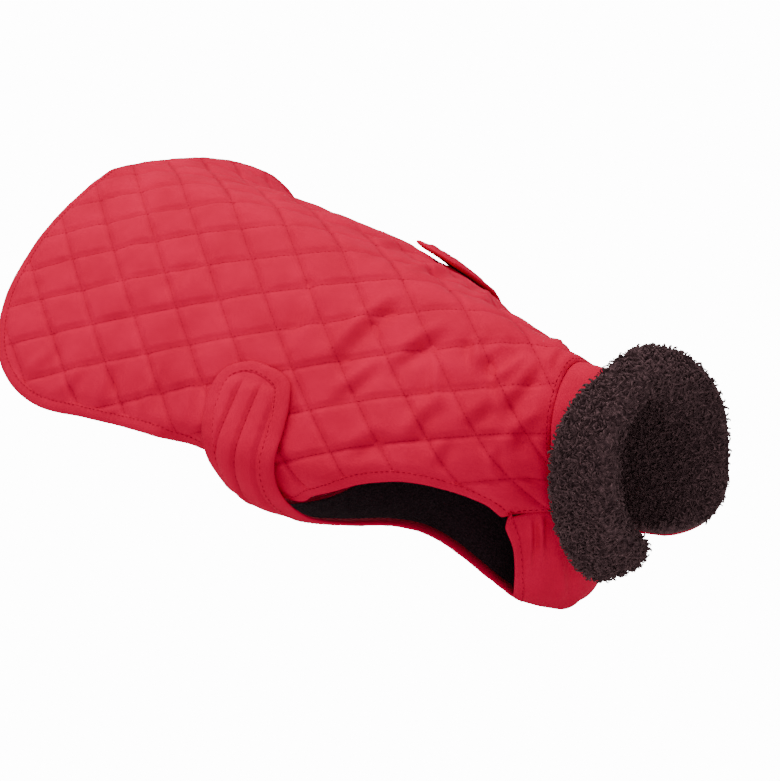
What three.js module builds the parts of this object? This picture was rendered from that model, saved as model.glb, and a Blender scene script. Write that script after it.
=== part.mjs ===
import * as THREE from 'three';

// A dog's winter coat in the hollow form that it keeps when worn. Millimetres.
// X runs forward to the neck, Y to the dog's left and Z up.
// The origin lies on the inside of the back, over the withers, where the wearer carries the coat.
//
// A pattern point is given by "back", the distance behind the nape along the spine, and by "down",
// the distance from the spine over the side of the body, positive on the dog's right.

// Cloth
const SEAM_GAP = 0.3; // between pieces that are sewn together
const SHELL_WALL = 1.7; // outer cloth with the wadding that its stitches press flat
const LINING_WALL = 2.0; // short fleece behind the shell
const PILLOW = 2.6; // rise of the quilting between its stitch lines
const BINDING_WIDTH = 6.5; // strip folded round every cut edge
const BINDING_GAP = 0.4; // from a panel's sewn edge to the strip, which bends along with it
const PILE_WALL = 8.0; // collar's deep pile, to the tips of its hair
const COLLAR_WALL = 1.7;
const NECK_MARGIN = 0.3; // from the neck seam's line to the pieces on either side

// Quilting, in diamonds that run along the spine
const DIAMOND_LONG = 60;
const DIAMOND_WIDE = 44;
const DIAMOND_START = 36; // first crossing on the spine, behind the nape
const DIAMOND_STEPS = 3; // points along the side of a diamond
const PILLOW_FADE = 9; // the quilting sinks towards the edge over this distance
const PILLOW_FULLNESS = 0.4; // lower is fuller and flatter on top

// Spacing of the points on the plain faces, along the outlines, along the spine and down a ring
const BACK_GRID = 22;
const BELLY_GRID = 20;
const EDGE_STEP = 13;
const SPINE_STEP = 2;
const STATION_STEP = 5;
const RING_STEP = 3;
const NECK_STEPS = 18; // back panel's half of the neck seam
const THROAT_STEPS = 12; // chest panel's half
const COLLAR_AROUND = 36;
const COLLAR_ACROSS = 11;

// Least distance of an inner point from its outline
const QUILT_CLEAR = 4.5;
const BACK_CLEAR = 9;
const BELLY_CLEAR = 8;
const STRAP_CLEAR = 3.5;

// Reach of the lattices, past every outline
const BACK_REACH = { from: -40, to: 480, across: 240 };
const BELLY_REACH = { from: 10, to: 260, across: 300 };

const FORM_LENGTH = 500; // the form ends this far behind the nape

// Where the wearer's back carries the coat, behind the nape
const HOLD_BACK = 120;

// Slope of the spine, in degrees, positive where it falls towards the tail
const SPINE = [
  { back: 0, slope: -9 },
  { back: 50, slope: -8 },
  { back: 110, slope: -5 },
  { back: 220, slope: -4.5 },
  { back: 330, slope: -1 },
  { back: 450, slope: 8 },
  { back: 520, slope: 12 },
];
const NAPE_DROP = 8; // the nape lies this much below the level that the belly points are given in

// Rings round the body. Each hangs from the spine at "back" and closes at the belly point
// (bellyX, bellyZ). From a ridge of "tilt" degrees it curls by "right" or "left" degrees
// a millimetre as far as "turn", then rounds into the belly with handles "side" and "floor" long.
// On the left it also hangs lower by "sag", 100 mm off the spine.
const RINGS = [
  { back: 0, bellyX: 42, bellyZ: -137, tilt: 14, right: 0.95, left: 0.95, turn: 60, side: 40, floor: 34, sag: 28 },
  { back: 40, bellyX: 43, bellyZ: -168, tilt: 17, right: 0.58, left: 0.58, turn: 85, side: 45, floor: 45, sag: 38 },
  { back: 80, bellyX: 34, bellyZ: -218, tilt: 19, right: 0.36, left: 0.37, turn: 115, side: 48, floor: 68, sag: 27 },
  { back: 120, bellyX: -6, bellyZ: -209, tilt: 20, right: 0.24, left: 0.3, turn: 140, side: 46, floor: 85, sag: 18 },
  { back: 160, bellyX: -80, bellyZ: -179, tilt: 19, right: 0.19, left: 0.22, turn: 160, side: 44, floor: 90, sag: 4 },
  { back: 200, bellyX: -150, bellyZ: -193, tilt: 18, right: 0.16, left: 0.18, turn: 172, side: 48, floor: 110, sag: 0 },
  { back: 250, bellyX: -235, bellyZ: -196, tilt: 16, right: 0.15, left: 0.155, turn: 182, side: 44, floor: 110, sag: 0 },
  { back: 300, bellyX: -299, bellyZ: -192, tilt: 15, right: 0.15, left: 0.17, turn: 240, side: 40, floor: 90, sag: 0 },
  { back: 350, bellyX: -349, bellyZ: -196, tilt: 14, right: 0.14, left: 0.195, turn: 240, side: 40, floor: 90, sag: 0 },
  { back: 400, bellyX: -399, bellyZ: -200, tilt: 13, right: 0.13, left: 0.2, turn: 240, side: 40, floor: 90, sag: 0 },
  { back: 450, bellyX: -449, bellyZ: -200, tilt: 11, right: 0.12, left: 0.11, turn: 240, side: 40, floor: 90, sag: 0 },
  { back: 500, bellyX: -498, bellyZ: -200, tilt: 10, right: 0.12, left: 0.04, turn: 240, side: 40, floor: 90, sag: 0 },
];
const RIDGE_WIDTH = 8.6; // how far the ridge along the spine takes to reach its tilt

// Right half of the back panel's sewn edge, from the middle of the hem to the yoke seam
const BACK_EDGE = [
  { back: 484, down: 0 },
  { back: 483, down: 45 },
  { back: 475, down: 98 },
  { back: 458, down: 157 },
  { back: 431, down: 204 },
  { back: 405, down: 222 },
  { back: 375, down: 227 },
  { back: 335, down: 218 },
  { back: 275, down: 203 },
  { back: 215, down: 196 },
  { back: 165, down: 208 },
  { back: 147, down: 208 },
  { back: 138, down: 197 },
  { back: 120, down: 181 },
  { back: 99, down: 162 },
  { back: 77, down: 148 },
  { back: 54, down: 139 },
  { back: 30, down: 136 },
  { back: 12, down: 140 },
  { back: 2, down: 149 },
];
const YOKE_AT_NECK = 122; // where the yoke seam meets the neck, down from the spine
const YOKE_GAP = 0.5; // between the two panels, along the yoke seam

// Right half of the chest and belly panel's sewn edge, from behind the yoke seam to the middle of
// the belly strap. "ring" is the ring that a point lies on and "over" its distance from the belly line.
const BELLY_EDGE = [
  { ring: 58, over: 112 },
  { ring: 76, over: 93 },
  { ring: 91, over: 76 },
  { ring: 98, over: 68 },
  { ring: 108, over: 62 },
  { ring: 125, over: 58 },
  { ring: 150, over: 62 },
  { ring: 172, over: 80 },
  { ring: 186, over: 110 },
  { ring: 192, over: 150 },
  { ring: 193, over: 200 },
  { ring: 194, over: 250 },
  { ring: 201, over: 271 },
  { ring: 217, over: 278 },
  { ring: 233, over: 270 },
  { ring: 234, over: 244 },
  { ring: 220, over: 190 },
  { ring: 221, over: 140 },
  { ring: 220, over: 60 },
  { ring: 220, over: 0 },
];

// Three sewn channels along the end of each strap
const CHANNELS = { first: 198, width: 12.5, count: 3, from: 168, to: 264, rise: 1.6 };
const CHANNEL_STEP = 16;
const CHANNEL_FADE = 5;

// Soft folds in the outer cloth, each from one pattern point to another
const BACK_FOLDS = [
  { back: 166, down: 90, toBack: 148, toDown: 14, width: 9, rise: 3.2 },
  { back: 122, down: 74, toBack: 98, toDown: 22, width: 8, rise: 3 },
  { back: 34, down: 66, toBack: 22, toDown: 8, width: 7, rise: 2.2 },
  { back: 18, down: 84, toBack: 4, toDown: 44, width: 6, rise: 2 },
  { back: 205, down: 30, toBack: 190, toDown: 96, width: 8, rise: 2 },
  { back: 158, down: -22, toBack: 172, toDown: -96, width: 9, rise: 3 },
  { back: 104, down: -30, toBack: 120, toDown: -86, width: 8, rise: 2.6 },
  { back: 24, down: -14, toBack: 36, toDown: -70, width: 7, rise: 2 },
];
const CHEST_FOLDS = [
  { ring: 14, over: 92, toRing: 34, toOver: 52, width: 6, rise: 2.2 },
  { ring: 22, over: 98, toRing: 50, toOver: 74, width: 6, rise: 2.4 },
  { ring: 8, over: 74, toRing: 18, toOver: 30, width: 6, rise: 1.8 },
  { ring: 16, over: -92, toRing: 38, toOver: -56, width: 6, rise: 2.2 },
  { ring: 8, over: -70, toRing: 20, toOver: -34, width: 6, rise: 1.8 },
];

// How far the straps stand off the body's form, by distance over the side from the belly line
const STRAP_RIGHT = [
  { over: 0, off: 0 },
  { over: 90, off: 0 },
  { over: 150, off: 5.5 },
  { over: 190, off: 8.5 },
  { over: 240, off: 8 },
  { over: 310, off: 7.4 },
];
const STRAP_LEFT = [
  { over: 0, off: 0 },
  { over: 90, off: 0 },
  { over: 150, off: 5.5 },
  { over: 190, off: 9 },
  { over: 240, off: 9.5 },
  { over: 310, off: 11 },
];

// Collar, by place round the neck: -1 is its left end at the throat, 0 the nape, 1 the right end.
// "stand" is the width before the fold, "lean" its outward lean, "fold" how far it turns back and
// "radius" the fold's own.
const COLLAR = [
  { place: -1, stand: 56, lean: 6, fold: 32, radius: 12 },
  { place: -0.7, stand: 58, lean: -6, fold: 26, radius: 12 },
  { place: -0.4, stand: 58, lean: -4, fold: 44, radius: 12 },
  { place: -0.2, stand: 56, lean: -8, fold: 105, radius: 10 },
  { place: 0, stand: 52, lean: -10, fold: 168, radius: 9 },
  { place: 0.25, stand: 42, lean: -6, fold: 178, radius: 7 },
  { place: 0.6, stand: 36, lean: 0, fold: 174, radius: 6.5 },
  { place: 0.85, stand: 35, lean: 4, fold: 150, radius: 7 },
  { place: 1, stand: 36, lean: 6, fold: 120, radius: 8 },
];
const COLLAR_WIDTH = 92;
const FOLD_LEAST = 20; // shortest width over which the collar turns back
const COLLAR_LEFT_GAP = 2; // from the middle of the throat to the collar's left end
const COLLAR_RIGHT_GAP = 16;
const COLLAR_CORNER_LEFT = 60;
const COLLAR_CORNER_RIGHT = 12;
const COLLAR_AXIS = new THREE.Vector3(0.954, 0, 0.3).normalize();

// Colours from the photograph
const RED = new THREE.Color().setStyle('rgb(212, 44, 62)');
const BINDING_RED = new THREE.Color().setStyle('rgb(190, 38, 54)');
const FLEECE_DARK = new THREE.Color().setStyle('rgb(34, 25, 28)');
const PILE_BROWN = new THREE.Color().setStyle('rgb(60, 43, 46)');

const RAD = Math.PI / 180;

// The smooth value of a table's column "name" where its column "key" is "at"
function column(rows, key, name, at) {
  const last = rows.length - 1;
  let i = 0;
  while (i < last - 1 && at > rows[i + 1][key]) i += 1;
  const slope = (j) => {
    const a = rows[Math.max(j - 1, 0)];
    const b = rows[Math.min(j + 1, last)];
    return (b[name] - a[name]) / (b[key] - a[key]);
  };
  const span = rows[i + 1][key] - rows[i][key];
  const t = THREE.MathUtils.clamp((at - rows[i][key]) / span, 0, 1);
  const t2 = t * t;
  const t3 = t2 * t;
  return rows[i][name] * (2 * t3 - 3 * t2 + 1) + rows[i + 1][name] * (3 * t2 - 2 * t3)
    + slope(i) * span * (t3 - 2 * t2 + t) + slope(i + 1) * span * (t3 - t2);
}

// The spine, walked in small steps from the nape towards the tail
const spineLine = [{ x: 0, z: -NAPE_DROP }];
for (let back = 0; back < FORM_LENGTH + 20; back += SPINE_STEP) {
  const slope = column(SPINE, 'back', 'slope', back) * RAD;
  const from = spineLine[spineLine.length - 1];
  spineLine.push({ x: from.x - SPINE_STEP * Math.cos(slope), z: from.z - SPINE_STEP * Math.sin(slope) });
}

function spineAt(back) {
  const t = THREE.MathUtils.clamp(back / SPINE_STEP, 0, spineLine.length - 1.001);
  const i = Math.floor(t);
  const a = spineLine[i];
  const b = spineLine[i + 1];
  return { x: a.x + (b.x - a.x) * (t - i), z: a.z + (b.z - a.z) * (t - i) };
}

// One half of a ring, laid out on the right, as points a fixed step apart from spine to belly
function ringPoints(back, half) {
  const value = (name) => column(RINGS, 'back', name, back);
  const top = spineAt(back);
  const fallX = value('bellyX') - top.x;
  const fallZ = value('bellyZ') - top.z;
  const depth = Math.hypot(fallX, fallZ);
  const flat = [[0, 0]];
  const turn = value('turn');
  let angle = 0;
  for (let s = 0.5; s < turn; s += 1) {
    angle = (value('tilt') * Math.tanh(s / RIDGE_WIDTH) + value(half) * s) * RAD;
    const from = flat[flat.length - 1];
    flat.push([from[0] + Math.cos(angle), from[1] + Math.sin(angle)]);
  }
  const start = flat[flat.length - 1];
  const side = value('side');
  const handleA = [start[0] + side * Math.cos(angle), start[1] + side * Math.sin(angle)];
  const handleB = [value('floor'), depth];
  for (let t = 0.01; t < 1.005; t += 0.01) {
    const k = 1 - t;
    const mix = (n, end) => k * k * k * start[n] + 3 * k * k * t * handleA[n] + 3 * k * t * t * handleB[n]
      + t * t * t * end;
    flat.push([mix(0, 0), mix(1, depth)]);
  }
  let length = 0;
  const lengths = flat.map((p, i) => {
    if (i > 0) length += Math.hypot(p[0] - flat[i - 1][0], p[1] - flat[i - 1][1]);
    return length;
  });
  const points = [];
  let i = 0;
  const place = (s) => {
    while (i < flat.length - 2 && lengths[i + 1] < s) i += 1;
    const t = (s - lengths[i]) / Math.max(lengths[i + 1] - lengths[i], 1e-6);
    const y = flat[i][0] + (flat[i + 1][0] - flat[i][0]) * t;
    const d = flat[i][1] + (flat[i + 1][1] - flat[i][1]) * t;
    return [top.x + d * fallX / depth, -y, top.z + d * fallZ / depth];
  };
  for (let s = 0; s < length; s += RING_STEP) points.push(place(s));
  points.push(place(length));
  return { points, length };
}

const halves = { right: [], left: [] };
for (let back = 0; back <= FORM_LENGTH; back += STATION_STEP) {
  halves.right.push(ringPoints(back, 'right'));
  halves.left.push(ringPoints(back, 'left'));
}

// The two known half rings on either side of "back", on the side that "down" names by its sign
function stationPair(back, down) {
  const stations = down < 0 ? halves.left : halves.right;
  const t = THREE.MathUtils.clamp(back / STATION_STEP, 0, stations.length - 1.001);
  return [stations[Math.floor(t)], stations[Math.floor(t) + 1], t - Math.floor(t)];
}

function ringLength(back, down) {
  const [a, b, t] = stationPair(back, down);
  return a.length + (b.length - a.length) * t;
}

function onRing(station, share) {
  const s = THREE.MathUtils.clamp(share, 0, 1) * station.length / RING_STEP;
  const i = Math.min(Math.floor(s), station.points.length - 2);
  const end = i === station.points.length - 2;
  const span = end ? station.length / RING_STEP - i : 1;
  const t = (s - i) / span;
  return station.points[i].map((v, n) => v + (station.points[i + 1][n] - v) * t);
}

// A point of the body's form, on the ring at "back" and "down" its side
const holdSpine = spineAt(HOLD_BACK);
const holdLift = SEAM_GAP / 2 + LINING_WALL;

function form(back, down) {
  const [a, b, t] = stationPair(back, down);
  const share = Math.abs(down) / ringLength(back, down);
  const p = onRing(a, share);
  const q = onRing(b, share);
  const point = new THREE.Vector3(...p.map((v, n) => v + (q[n] - v) * t));
  if (down < 0) {
    point.y = -point.y;
    point.z -= column(RINGS, 'back', 'sag', back) * (point.y / 100) ** 2;
  }
  point.x -= holdSpine.x;
  point.z -= holdSpine.z - holdLift;
  return point;
}

// The ring whose point at "down" lies straight below or beside the spine point at "back"
function ringFor(back, down) {
  const x = (back >= 0 ? spineAt(back).x : -back) - holdSpine.x;
  let low = 0;
  let high = FORM_LENGTH;
  for (let n = 0; n < 30; n += 1) {
    const middle = (low + high) / 2;
    if (form(middle, down).x > x) low = middle;
    else high = middle;
  }
  return (low + high) / 2;
}

function bodyNormal(ring, down) {
  const e = 2.5;
  const along = form(ring + e, down).sub(form(Math.max(ring - e, 0), down));
  const across = form(ring, down + e).sub(form(ring, down - e));
  return along.cross(across).normalize();
}

// Outward from the collar where it is sewn on, and the mitre that body and collar share there
function neckRadial(down) {
  const tangent = form(0, down + 2).sub(form(0, down - 2)).normalize();
  return new THREE.Vector3().crossVectors(tangent, COLLAR_AXIS).normalize();
}

function neckMitre(down) {
  const normal = bodyNormal(0, down);
  const mitre = neckRadial(down).add(normal).normalize();
  return mitre.divideScalar(mitre.dot(normal));
}

// A point "height" outside the form, by the form's normal or, at the neck seam, by its mitre
function raise(ring, down, height) {
  const normal = ring < NECK_MARGIN + 0.1 ? neckMitre(down) : bodyNormal(ring, down);
  return form(ring, down).addScaledVector(normal, height);
}

function backPlace(p, height) {
  return raise(ringFor(p.x, p.y), p.y, height);
}

function bellyPlace(p, height) {
  const off = column(p.y > 0 ? STRAP_RIGHT : STRAP_LEFT, 'over', 'off', Math.abs(p.y));
  const down = (ringLength(p.x, p.y) - Math.abs(p.y)) * (p.y < 0 ? -1 : 1);
  return raise(p.x, down, height + off);
}

// Delaunay triangles of flat points, nudged by a hair so that no four share a circle
function triangulate(points) {
  const nudged = points.map((p, i) => [p.x + 1e-4 * Math.sin(i * 12.9), p.y + 1e-4 * Math.sin(i * 78.2)]);
  const count = points.length;
  const far = 20000;
  nudged.push([-far, -far], [far, -far], [0, far]);
  const circle = (a, b, c) => {
    const [ax, ay] = nudged[a];
    const bx = nudged[b][0] - ax;
    const by = nudged[b][1] - ay;
    const cx = nudged[c][0] - ax;
    const cy = nudged[c][1] - ay;
    const d = 2 * (bx * cy - by * cx);
    const ux = (cy * (bx * bx + by * by) - by * (cx * cx + cy * cy)) / d;
    const uy = (bx * (cx * cx + cy * cy) - cx * (bx * bx + by * by)) / d;
    return { v: [a, b, c], x: ax + ux, y: ay + uy, r: ux * ux + uy * uy };
  };
  let triangles = [circle(count, count + 1, count + 2)];
  for (let i = 0; i < count; i += 1) {
    const edges = new Map();
    const kept = [];
    for (const t of triangles) {
      const dx = nudged[i][0] - t.x;
      const dy = nudged[i][1] - t.y;
      if (dx * dx + dy * dy > t.r) {
        kept.push(t);
        continue;
      }
      for (let k = 0; k < 3; k += 1) {
        const a = t.v[k];
        const b = t.v[(k + 1) % 3];
        const back = `${b},${a}`;
        if (edges.has(back)) edges.delete(back);
        else edges.set(`${a},${b}`, [a, b]);
      }
    }
    triangles = kept;
    for (const [a, b] of edges.values()) triangles.push(circle(a, b, i));
  }
  return triangles.map((t) => t.v).filter((v) => Math.max(...v) < count);
}

function inside(outline, x, y) {
  let odd = false;
  for (let i = 0, j = outline.length - 1; i < outline.length; j = i, i += 1) {
    const a = outline[i];
    const b = outline[j];
    if ((a.y > y) !== (b.y > y) && x < (b.x - a.x) * (y - a.y) / (b.y - a.y) + a.x) odd = !odd;
  }
  return odd;
}

function edgeDistance(outline, x, y) {
  let best = Infinity;
  for (let i = 0, j = outline.length - 1; i < outline.length; j = i, i += 1) {
    const a = outline[j];
    const b = outline[i];
    const lx = b.x - a.x;
    const ly = b.y - a.y;
    const t = THREE.MathUtils.clamp(((x - a.x) * lx + (y - a.y) * ly) / (lx * lx + ly * ly), 0, 1);
    best = Math.min(best, Math.hypot(x - a.x - lx * t, y - a.y - ly * t));
  }
  return best;
}

// Flat mesh of an outline with the lattice points that lie inside it, clear of its edge
function flatMesh(outline, lattice, clear) {
  const within = lattice.filter((p) => inside(outline, p.x, p.y) && edgeDistance(outline, p.x, p.y) > clear);
  const points = outline.concat(within);
  const triangles = triangulate(points).filter(([a, b, c]) => {
    const x = (points[a].x + points[b].x + points[c].x) / 3;
    const y = (points[a].y + points[b].y + points[c].y) / 3;
    return inside(outline, x, y);
  });
  for (const t of triangles) {
    const [a, b, c] = t.map((i) => points[i]);
    if ((b.x - a.x) * (c.y - a.y) < (c.x - a.x) * (b.y - a.y)) t.reverse();
  }
  return { points, triangles };
}

function body(vertices, triangles) {
  const geometry = new THREE.BufferGeometry();
  geometry.setAttribute('position', new THREE.Float32BufferAttribute(vertices.flatMap((v) => v.toArray()), 3));
  geometry.setIndex(triangles.flat());
  return geometry;
}

// A wall between two flat meshes that share their outline, the first one outside.
// "turned" tells whether the outside's triangles have to be turned round.
function wall(outer, inner, placeOuter, placeInner, rim, turned) {
  const shift = outer.points.length;
  const vertices = outer.points.map(placeOuter).concat(inner.points.map(placeInner));
  const triangles = [];
  const add = (a, b, c) => triangles.push(turned ? [a, c, b] : [a, b, c]);
  for (const [a, b, c] of outer.triangles) add(a, b, c);
  for (const [a, b, c] of inner.triangles) add(c + shift, b + shift, a + shift);
  for (let i = 0; i < rim; i += 1) {
    const j = (i + 1) % rim;
    add(i + shift, j + shift, j);
    add(i + shift, j, i);
  }
  return body(vertices, triangles);
}

// Points a step apart on a smooth line through the given ones
function smoothLine(knots, step) {
  const curve = new THREE.CatmullRomCurve3(knots.map((p) => new THREE.Vector3(p.x, p.y, 0)), false, 'centripetal');
  curve.arcLengthDivisions = 400;
  return curve.getSpacedPoints(Math.max(2, Math.round(curve.getLength() / step)));
}

function mirrored(line) {
  return line.map((p) => new THREE.Vector3(p.x, -p.y, 0)).reverse();
}

const group = new THREE.Group();

function addPiece(name, geometry, color, roughness) {
  const mesh = new THREE.Mesh(geometry, new THREE.MeshStandardMaterial({ color, roughness, metalness: 0 }));
  mesh.name = name;
  group.add(mesh);
}

// Back panel: sewn edge on the right, yoke seam, neck seam and their mirror images
const neckPoint = (down) => new THREE.Vector3(-(form(NECK_MARGIN, down).x + holdSpine.x), down, 0);
const backRight = smoothLine(BACK_EDGE.map((row) => new THREE.Vector3(row.back, row.down, 0)), EDGE_STEP);
const yokeLine = smoothLine([backRight[backRight.length - 1], neckPoint(YOKE_AT_NECK)], EDGE_STEP);
const neckLine = [];
for (let i = 1; i < NECK_STEPS; i += 1) {
  neckLine.push(neckPoint(YOKE_AT_NECK * (1 - 2 * i / NECK_STEPS)));
}
const backEdge = backRight.concat(yokeLine.slice(1), neckLine, mirrored(yokeLine).slice(0, -1),
  mirrored(backRight).slice(0, -1));

function diamond(back, down) {
  const along = (back - DIAMOND_START) / DIAMOND_LONG;
  const across = down / DIAMOND_WIDE;
  const hump = (t) => 4 * (t - Math.floor(t)) * (1 - t + Math.floor(t));
  return PILLOW * (hump(along + across) * hump(along - across)) ** PILLOW_FULLNESS;
}

const quiltLattice = [];
for (let i = -30; i < 60; i += 1) {
  for (let j = -30; j < 60; j += 1) {
    const back = DIAMOND_START + DIAMOND_LONG * (i + j) / (2 * DIAMOND_STEPS);
    quiltLattice.push(new THREE.Vector3(back, DIAMOND_WIDE * (i - j) / (2 * DIAMOND_STEPS), 0));
  }
}

// Height of the folds at a pattern point: round across, and sinking towards both of their ends
function foldRise(folds, p, x, y, toX, toY) {
  let rise = 0;
  for (const fold of folds) {
    const lx = fold[toX] - fold[x];
    const ly = fold[toY] - fold[y];
    const along = ((p.x - fold[x]) * lx + (p.y - fold[y]) * ly) / (lx * lx + ly * ly);
    if (along < 0 || along > 1) continue;
    const off = Math.hypot(p.x - fold[x] - lx * along, p.y - fold[y] - ly * along) / fold.width;
    rise += fold.rise * Math.exp(-off * off) * Math.sin(Math.PI * along);
  }
  return rise;
}

function gridLattice(step, reach) {
  const points = [];
  for (let x = reach.from; x < reach.to; x += step) {
    for (let n = -Math.ceil(reach.across / step); n * step <= reach.across; n += 1) {
      points.push(new THREE.Vector3(x, n * step, 0));
    }
  }
  return points;
}

const quilted = flatMesh(backEdge, quiltLattice, QUILT_CLEAR);
const backPlain = flatMesh(backEdge, gridLattice(BACK_GRID, BACK_REACH), BACK_CLEAR);
const shellInside = SEAM_GAP / 2;
const shellOutside = shellInside + SHELL_WALL;
const liningOutside = -SEAM_GAP / 2;
const liningInside = liningOutside - LINING_WALL;
const quiltTop = (p) => {
  const fade = THREE.MathUtils.smoothstep(edgeDistance(backEdge, p.x, p.y), 0, PILLOW_FADE);
  const fold = foldRise(BACK_FOLDS, p, 'back', 'down', 'toBack', 'toDown');
  return backPlace(p, shellOutside + (diamond(p.x, p.y) + fold) * fade);
};
addPiece('back_panel', wall(quilted, backPlain, quiltTop, (p) => backPlace(p, shellInside), backEdge.length, false),
  RED, 0.8);
addPiece('back_lining', wall(backPlain, backPlain, (p) => backPlace(p, liningOutside),
  (p) => backPlace(p, liningInside), backEdge.length, false), FLEECE_DARK, 0.95);

// Chest and belly panel with its two straps. Its yoke edge follows the back panel's.
function overFrom(p) {
  const ring = ringFor(p.x, p.y);
  return new THREE.Vector3(ring, ringLength(ring, p.y) - p.y - YOKE_GAP, 0);
}

const bellyYoke = yokeLine.map(overFrom).reverse();
const bellyKnots = BELLY_EDGE.map((row) => new THREE.Vector3(row.ring, row.over, 0));
const bellyRight = smoothLine([bellyYoke[bellyYoke.length - 1], ...bellyKnots], EDGE_STEP);
const throatOver = bellyYoke[0].y;
const bellyThroat = [];
for (let i = 1; i < THROAT_STEPS; i += 1) {
  bellyThroat.push(new THREE.Vector3(NECK_MARGIN, throatOver * (2 * i / THROAT_STEPS - 1), 0));
}
const bellyEdge = mirrored(bellyRight).slice(1).concat(mirrored(bellyYoke).slice(1), bellyThroat,
  bellyYoke.slice(0, -1), bellyRight).reverse();
const bellyPlain = flatMesh(bellyEdge, gridLattice(BELLY_GRID, BELLY_REACH), BELLY_CLEAR);

function onChannels(p) {
  const over = Math.abs(p.y);
  const across = (p.x - CHANNELS.first) / CHANNELS.width;
  if (over < CHANNELS.from || over > CHANNELS.to || across < 0 || across > CHANNELS.count) return 0;
  const t = across - Math.floor(across);
  return CHANNELS.rise * Math.sqrt(Math.max(4 * t * (1 - t), 0));
}

const channelLattice = [];
for (let n = 0; n <= 2 * CHANNELS.count; n += 1) {
  for (let over = CHANNELS.from; over <= CHANNELS.to; over += CHANNEL_STEP) {
    const ring = CHANNELS.first + n * CHANNELS.width / 2;
    channelLattice.push(new THREE.Vector3(ring, over, 0), new THREE.Vector3(ring, -over, 0));
  }
}
const offChannels = gridLattice(BELLY_GRID, BELLY_REACH)
  .filter((p) => Math.abs(p.y) < CHANNELS.from - BELLY_GRID / 2);
const bellyShaped = flatMesh(bellyEdge, offChannels.concat(channelLattice), STRAP_CLEAR);
const bellyTop = (p) => {
  const fade = THREE.MathUtils.smoothstep(edgeDistance(bellyEdge, p.x, p.y), 0, CHANNEL_FADE);
  const fold = foldRise(CHEST_FOLDS, p, 'ring', 'over', 'toRing', 'toOver');
  return bellyPlace(p, shellOutside + (onChannels(p) + fold) * fade);
};
addPiece('chest_belly_panel', wall(bellyShaped, bellyPlain, bellyTop, (p) => bellyPlace(p, shellInside),
  bellyEdge.length, true), RED, 0.8);
addPiece('chest_belly_lining', wall(bellyPlain, bellyPlain, (p) => bellyPlace(p, liningOutside),
  (p) => bellyPlace(p, liningInside), bellyEdge.length, true), FLEECE_DARK, 0.95);

// Binding: a strip with a rounded outer edge along an open or closed stretch of a panel's edge
const BINDING_ROUND = 1.5;
const BINDING_SECTION = [
  { out: BINDING_GAP, rise: liningInside },
  { out: BINDING_GAP, rise: shellOutside },
  { out: BINDING_WIDTH - BINDING_ROUND, rise: shellOutside },
  { out: BINDING_WIDTH, rise: (shellOutside + liningInside) / 2 },
  { out: BINDING_WIDTH - BINDING_ROUND, rise: liningInside },
];

function binding(line, place, side) {
  const sides = BINDING_SECTION.length;
  const vertices = [];
  line.forEach((p, i) => {
    const a = line[Math.max(i - 1, 0)];
    const b = line[Math.min(i + 1, line.length - 1)];
    const out = new THREE.Vector3(b.y - a.y, a.x - b.x, 0).normalize().multiplyScalar(side);
    for (const corner of BINDING_SECTION) {
      vertices.push(place(p.clone().addScaledVector(out, corner.out), corner.rise));
    }
  });
  const triangles = [];
  for (let i = 0; i + 1 < line.length; i += 1) {
    for (let k = 0; k < sides; k += 1) {
      const a = i * sides + k;
      const b = i * sides + (k + 1) % sides;
      triangles.push([a, b, b + sides], [a, b + sides, a + sides]);
    }
  }
  const end = (line.length - 1) * sides;
  for (let k = 1; k + 1 < sides; k += 1) {
    triangles.push([0, k + 1, k], [end, end + k, end + k + 1]);
  }
  return body(vertices, triangles);
}

const backHem = mirrored(backRight).slice(0, -1).concat(backRight);
addPiece('back_binding', binding(backHem, backPlace, 1), BINDING_RED, 0.8);
const bellyHem = bellyRight.slice(0, -1).concat(mirrored(bellyRight));
addPiece('belly_binding', binding(bellyHem, bellyPlace, -1), BINDING_RED, 0.8);

// Collar: a band sewn to the neck, which stands, folds and turns back by its table
const neckHalf = ringLength(0, 1);

function collarPlace(down, width, height) {
  const place = down / neckHalf;
  const value = (name) => column(COLLAR, 'place', name, place);
  const base = form(0, down);
  const radial = neckRadial(down);
  if (width <= NECK_MARGIN) {
    return base.addScaledVector(COLLAR_AXIS, width).addScaledVector(neckMitre(down), height);
  }
  const fold = value('fold') * RAD;
  const foldLength = Math.max(fold * value('radius'), FOLD_LEAST);
  const lean = value('lean') * RAD;
  const stand = value('stand');
  const steps = 40;
  let angle = lean;
  for (let n = 0; n < steps; n += 1) {
    const w = width * (n + 0.5) / steps;
    angle = lean + fold * THREE.MathUtils.smoothstep(w, stand, stand + foldLength);
    base.addScaledVector(COLLAR_AXIS, Math.cos(angle) * width / steps);
    base.addScaledVector(radial, Math.sin(angle) * width / steps);
  }
  const out = radial.clone().multiplyScalar(Math.cos(angle)).addScaledVector(COLLAR_AXIS, -Math.sin(angle));
  return base.addScaledVector(out, height);
}

const collarLength = 2 * neckHalf - COLLAR_LEFT_GAP - COLLAR_RIGHT_GAP;

// The band's full width, less what its rounded outer corners take off near its ends
function collarWidth(down) {
  const corner = down < 0 ? COLLAR_CORNER_LEFT : COLLAR_CORNER_RIGHT;
  const gap = down < 0 ? COLLAR_LEFT_GAP : COLLAR_RIGHT_GAP;
  const toEnd = Math.min(neckHalf - gap - Math.abs(down), corner);
  return COLLAR_WIDTH - corner + Math.sqrt(Math.max(corner ** 2 - (corner - toEnd) ** 2, 0));
}

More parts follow.
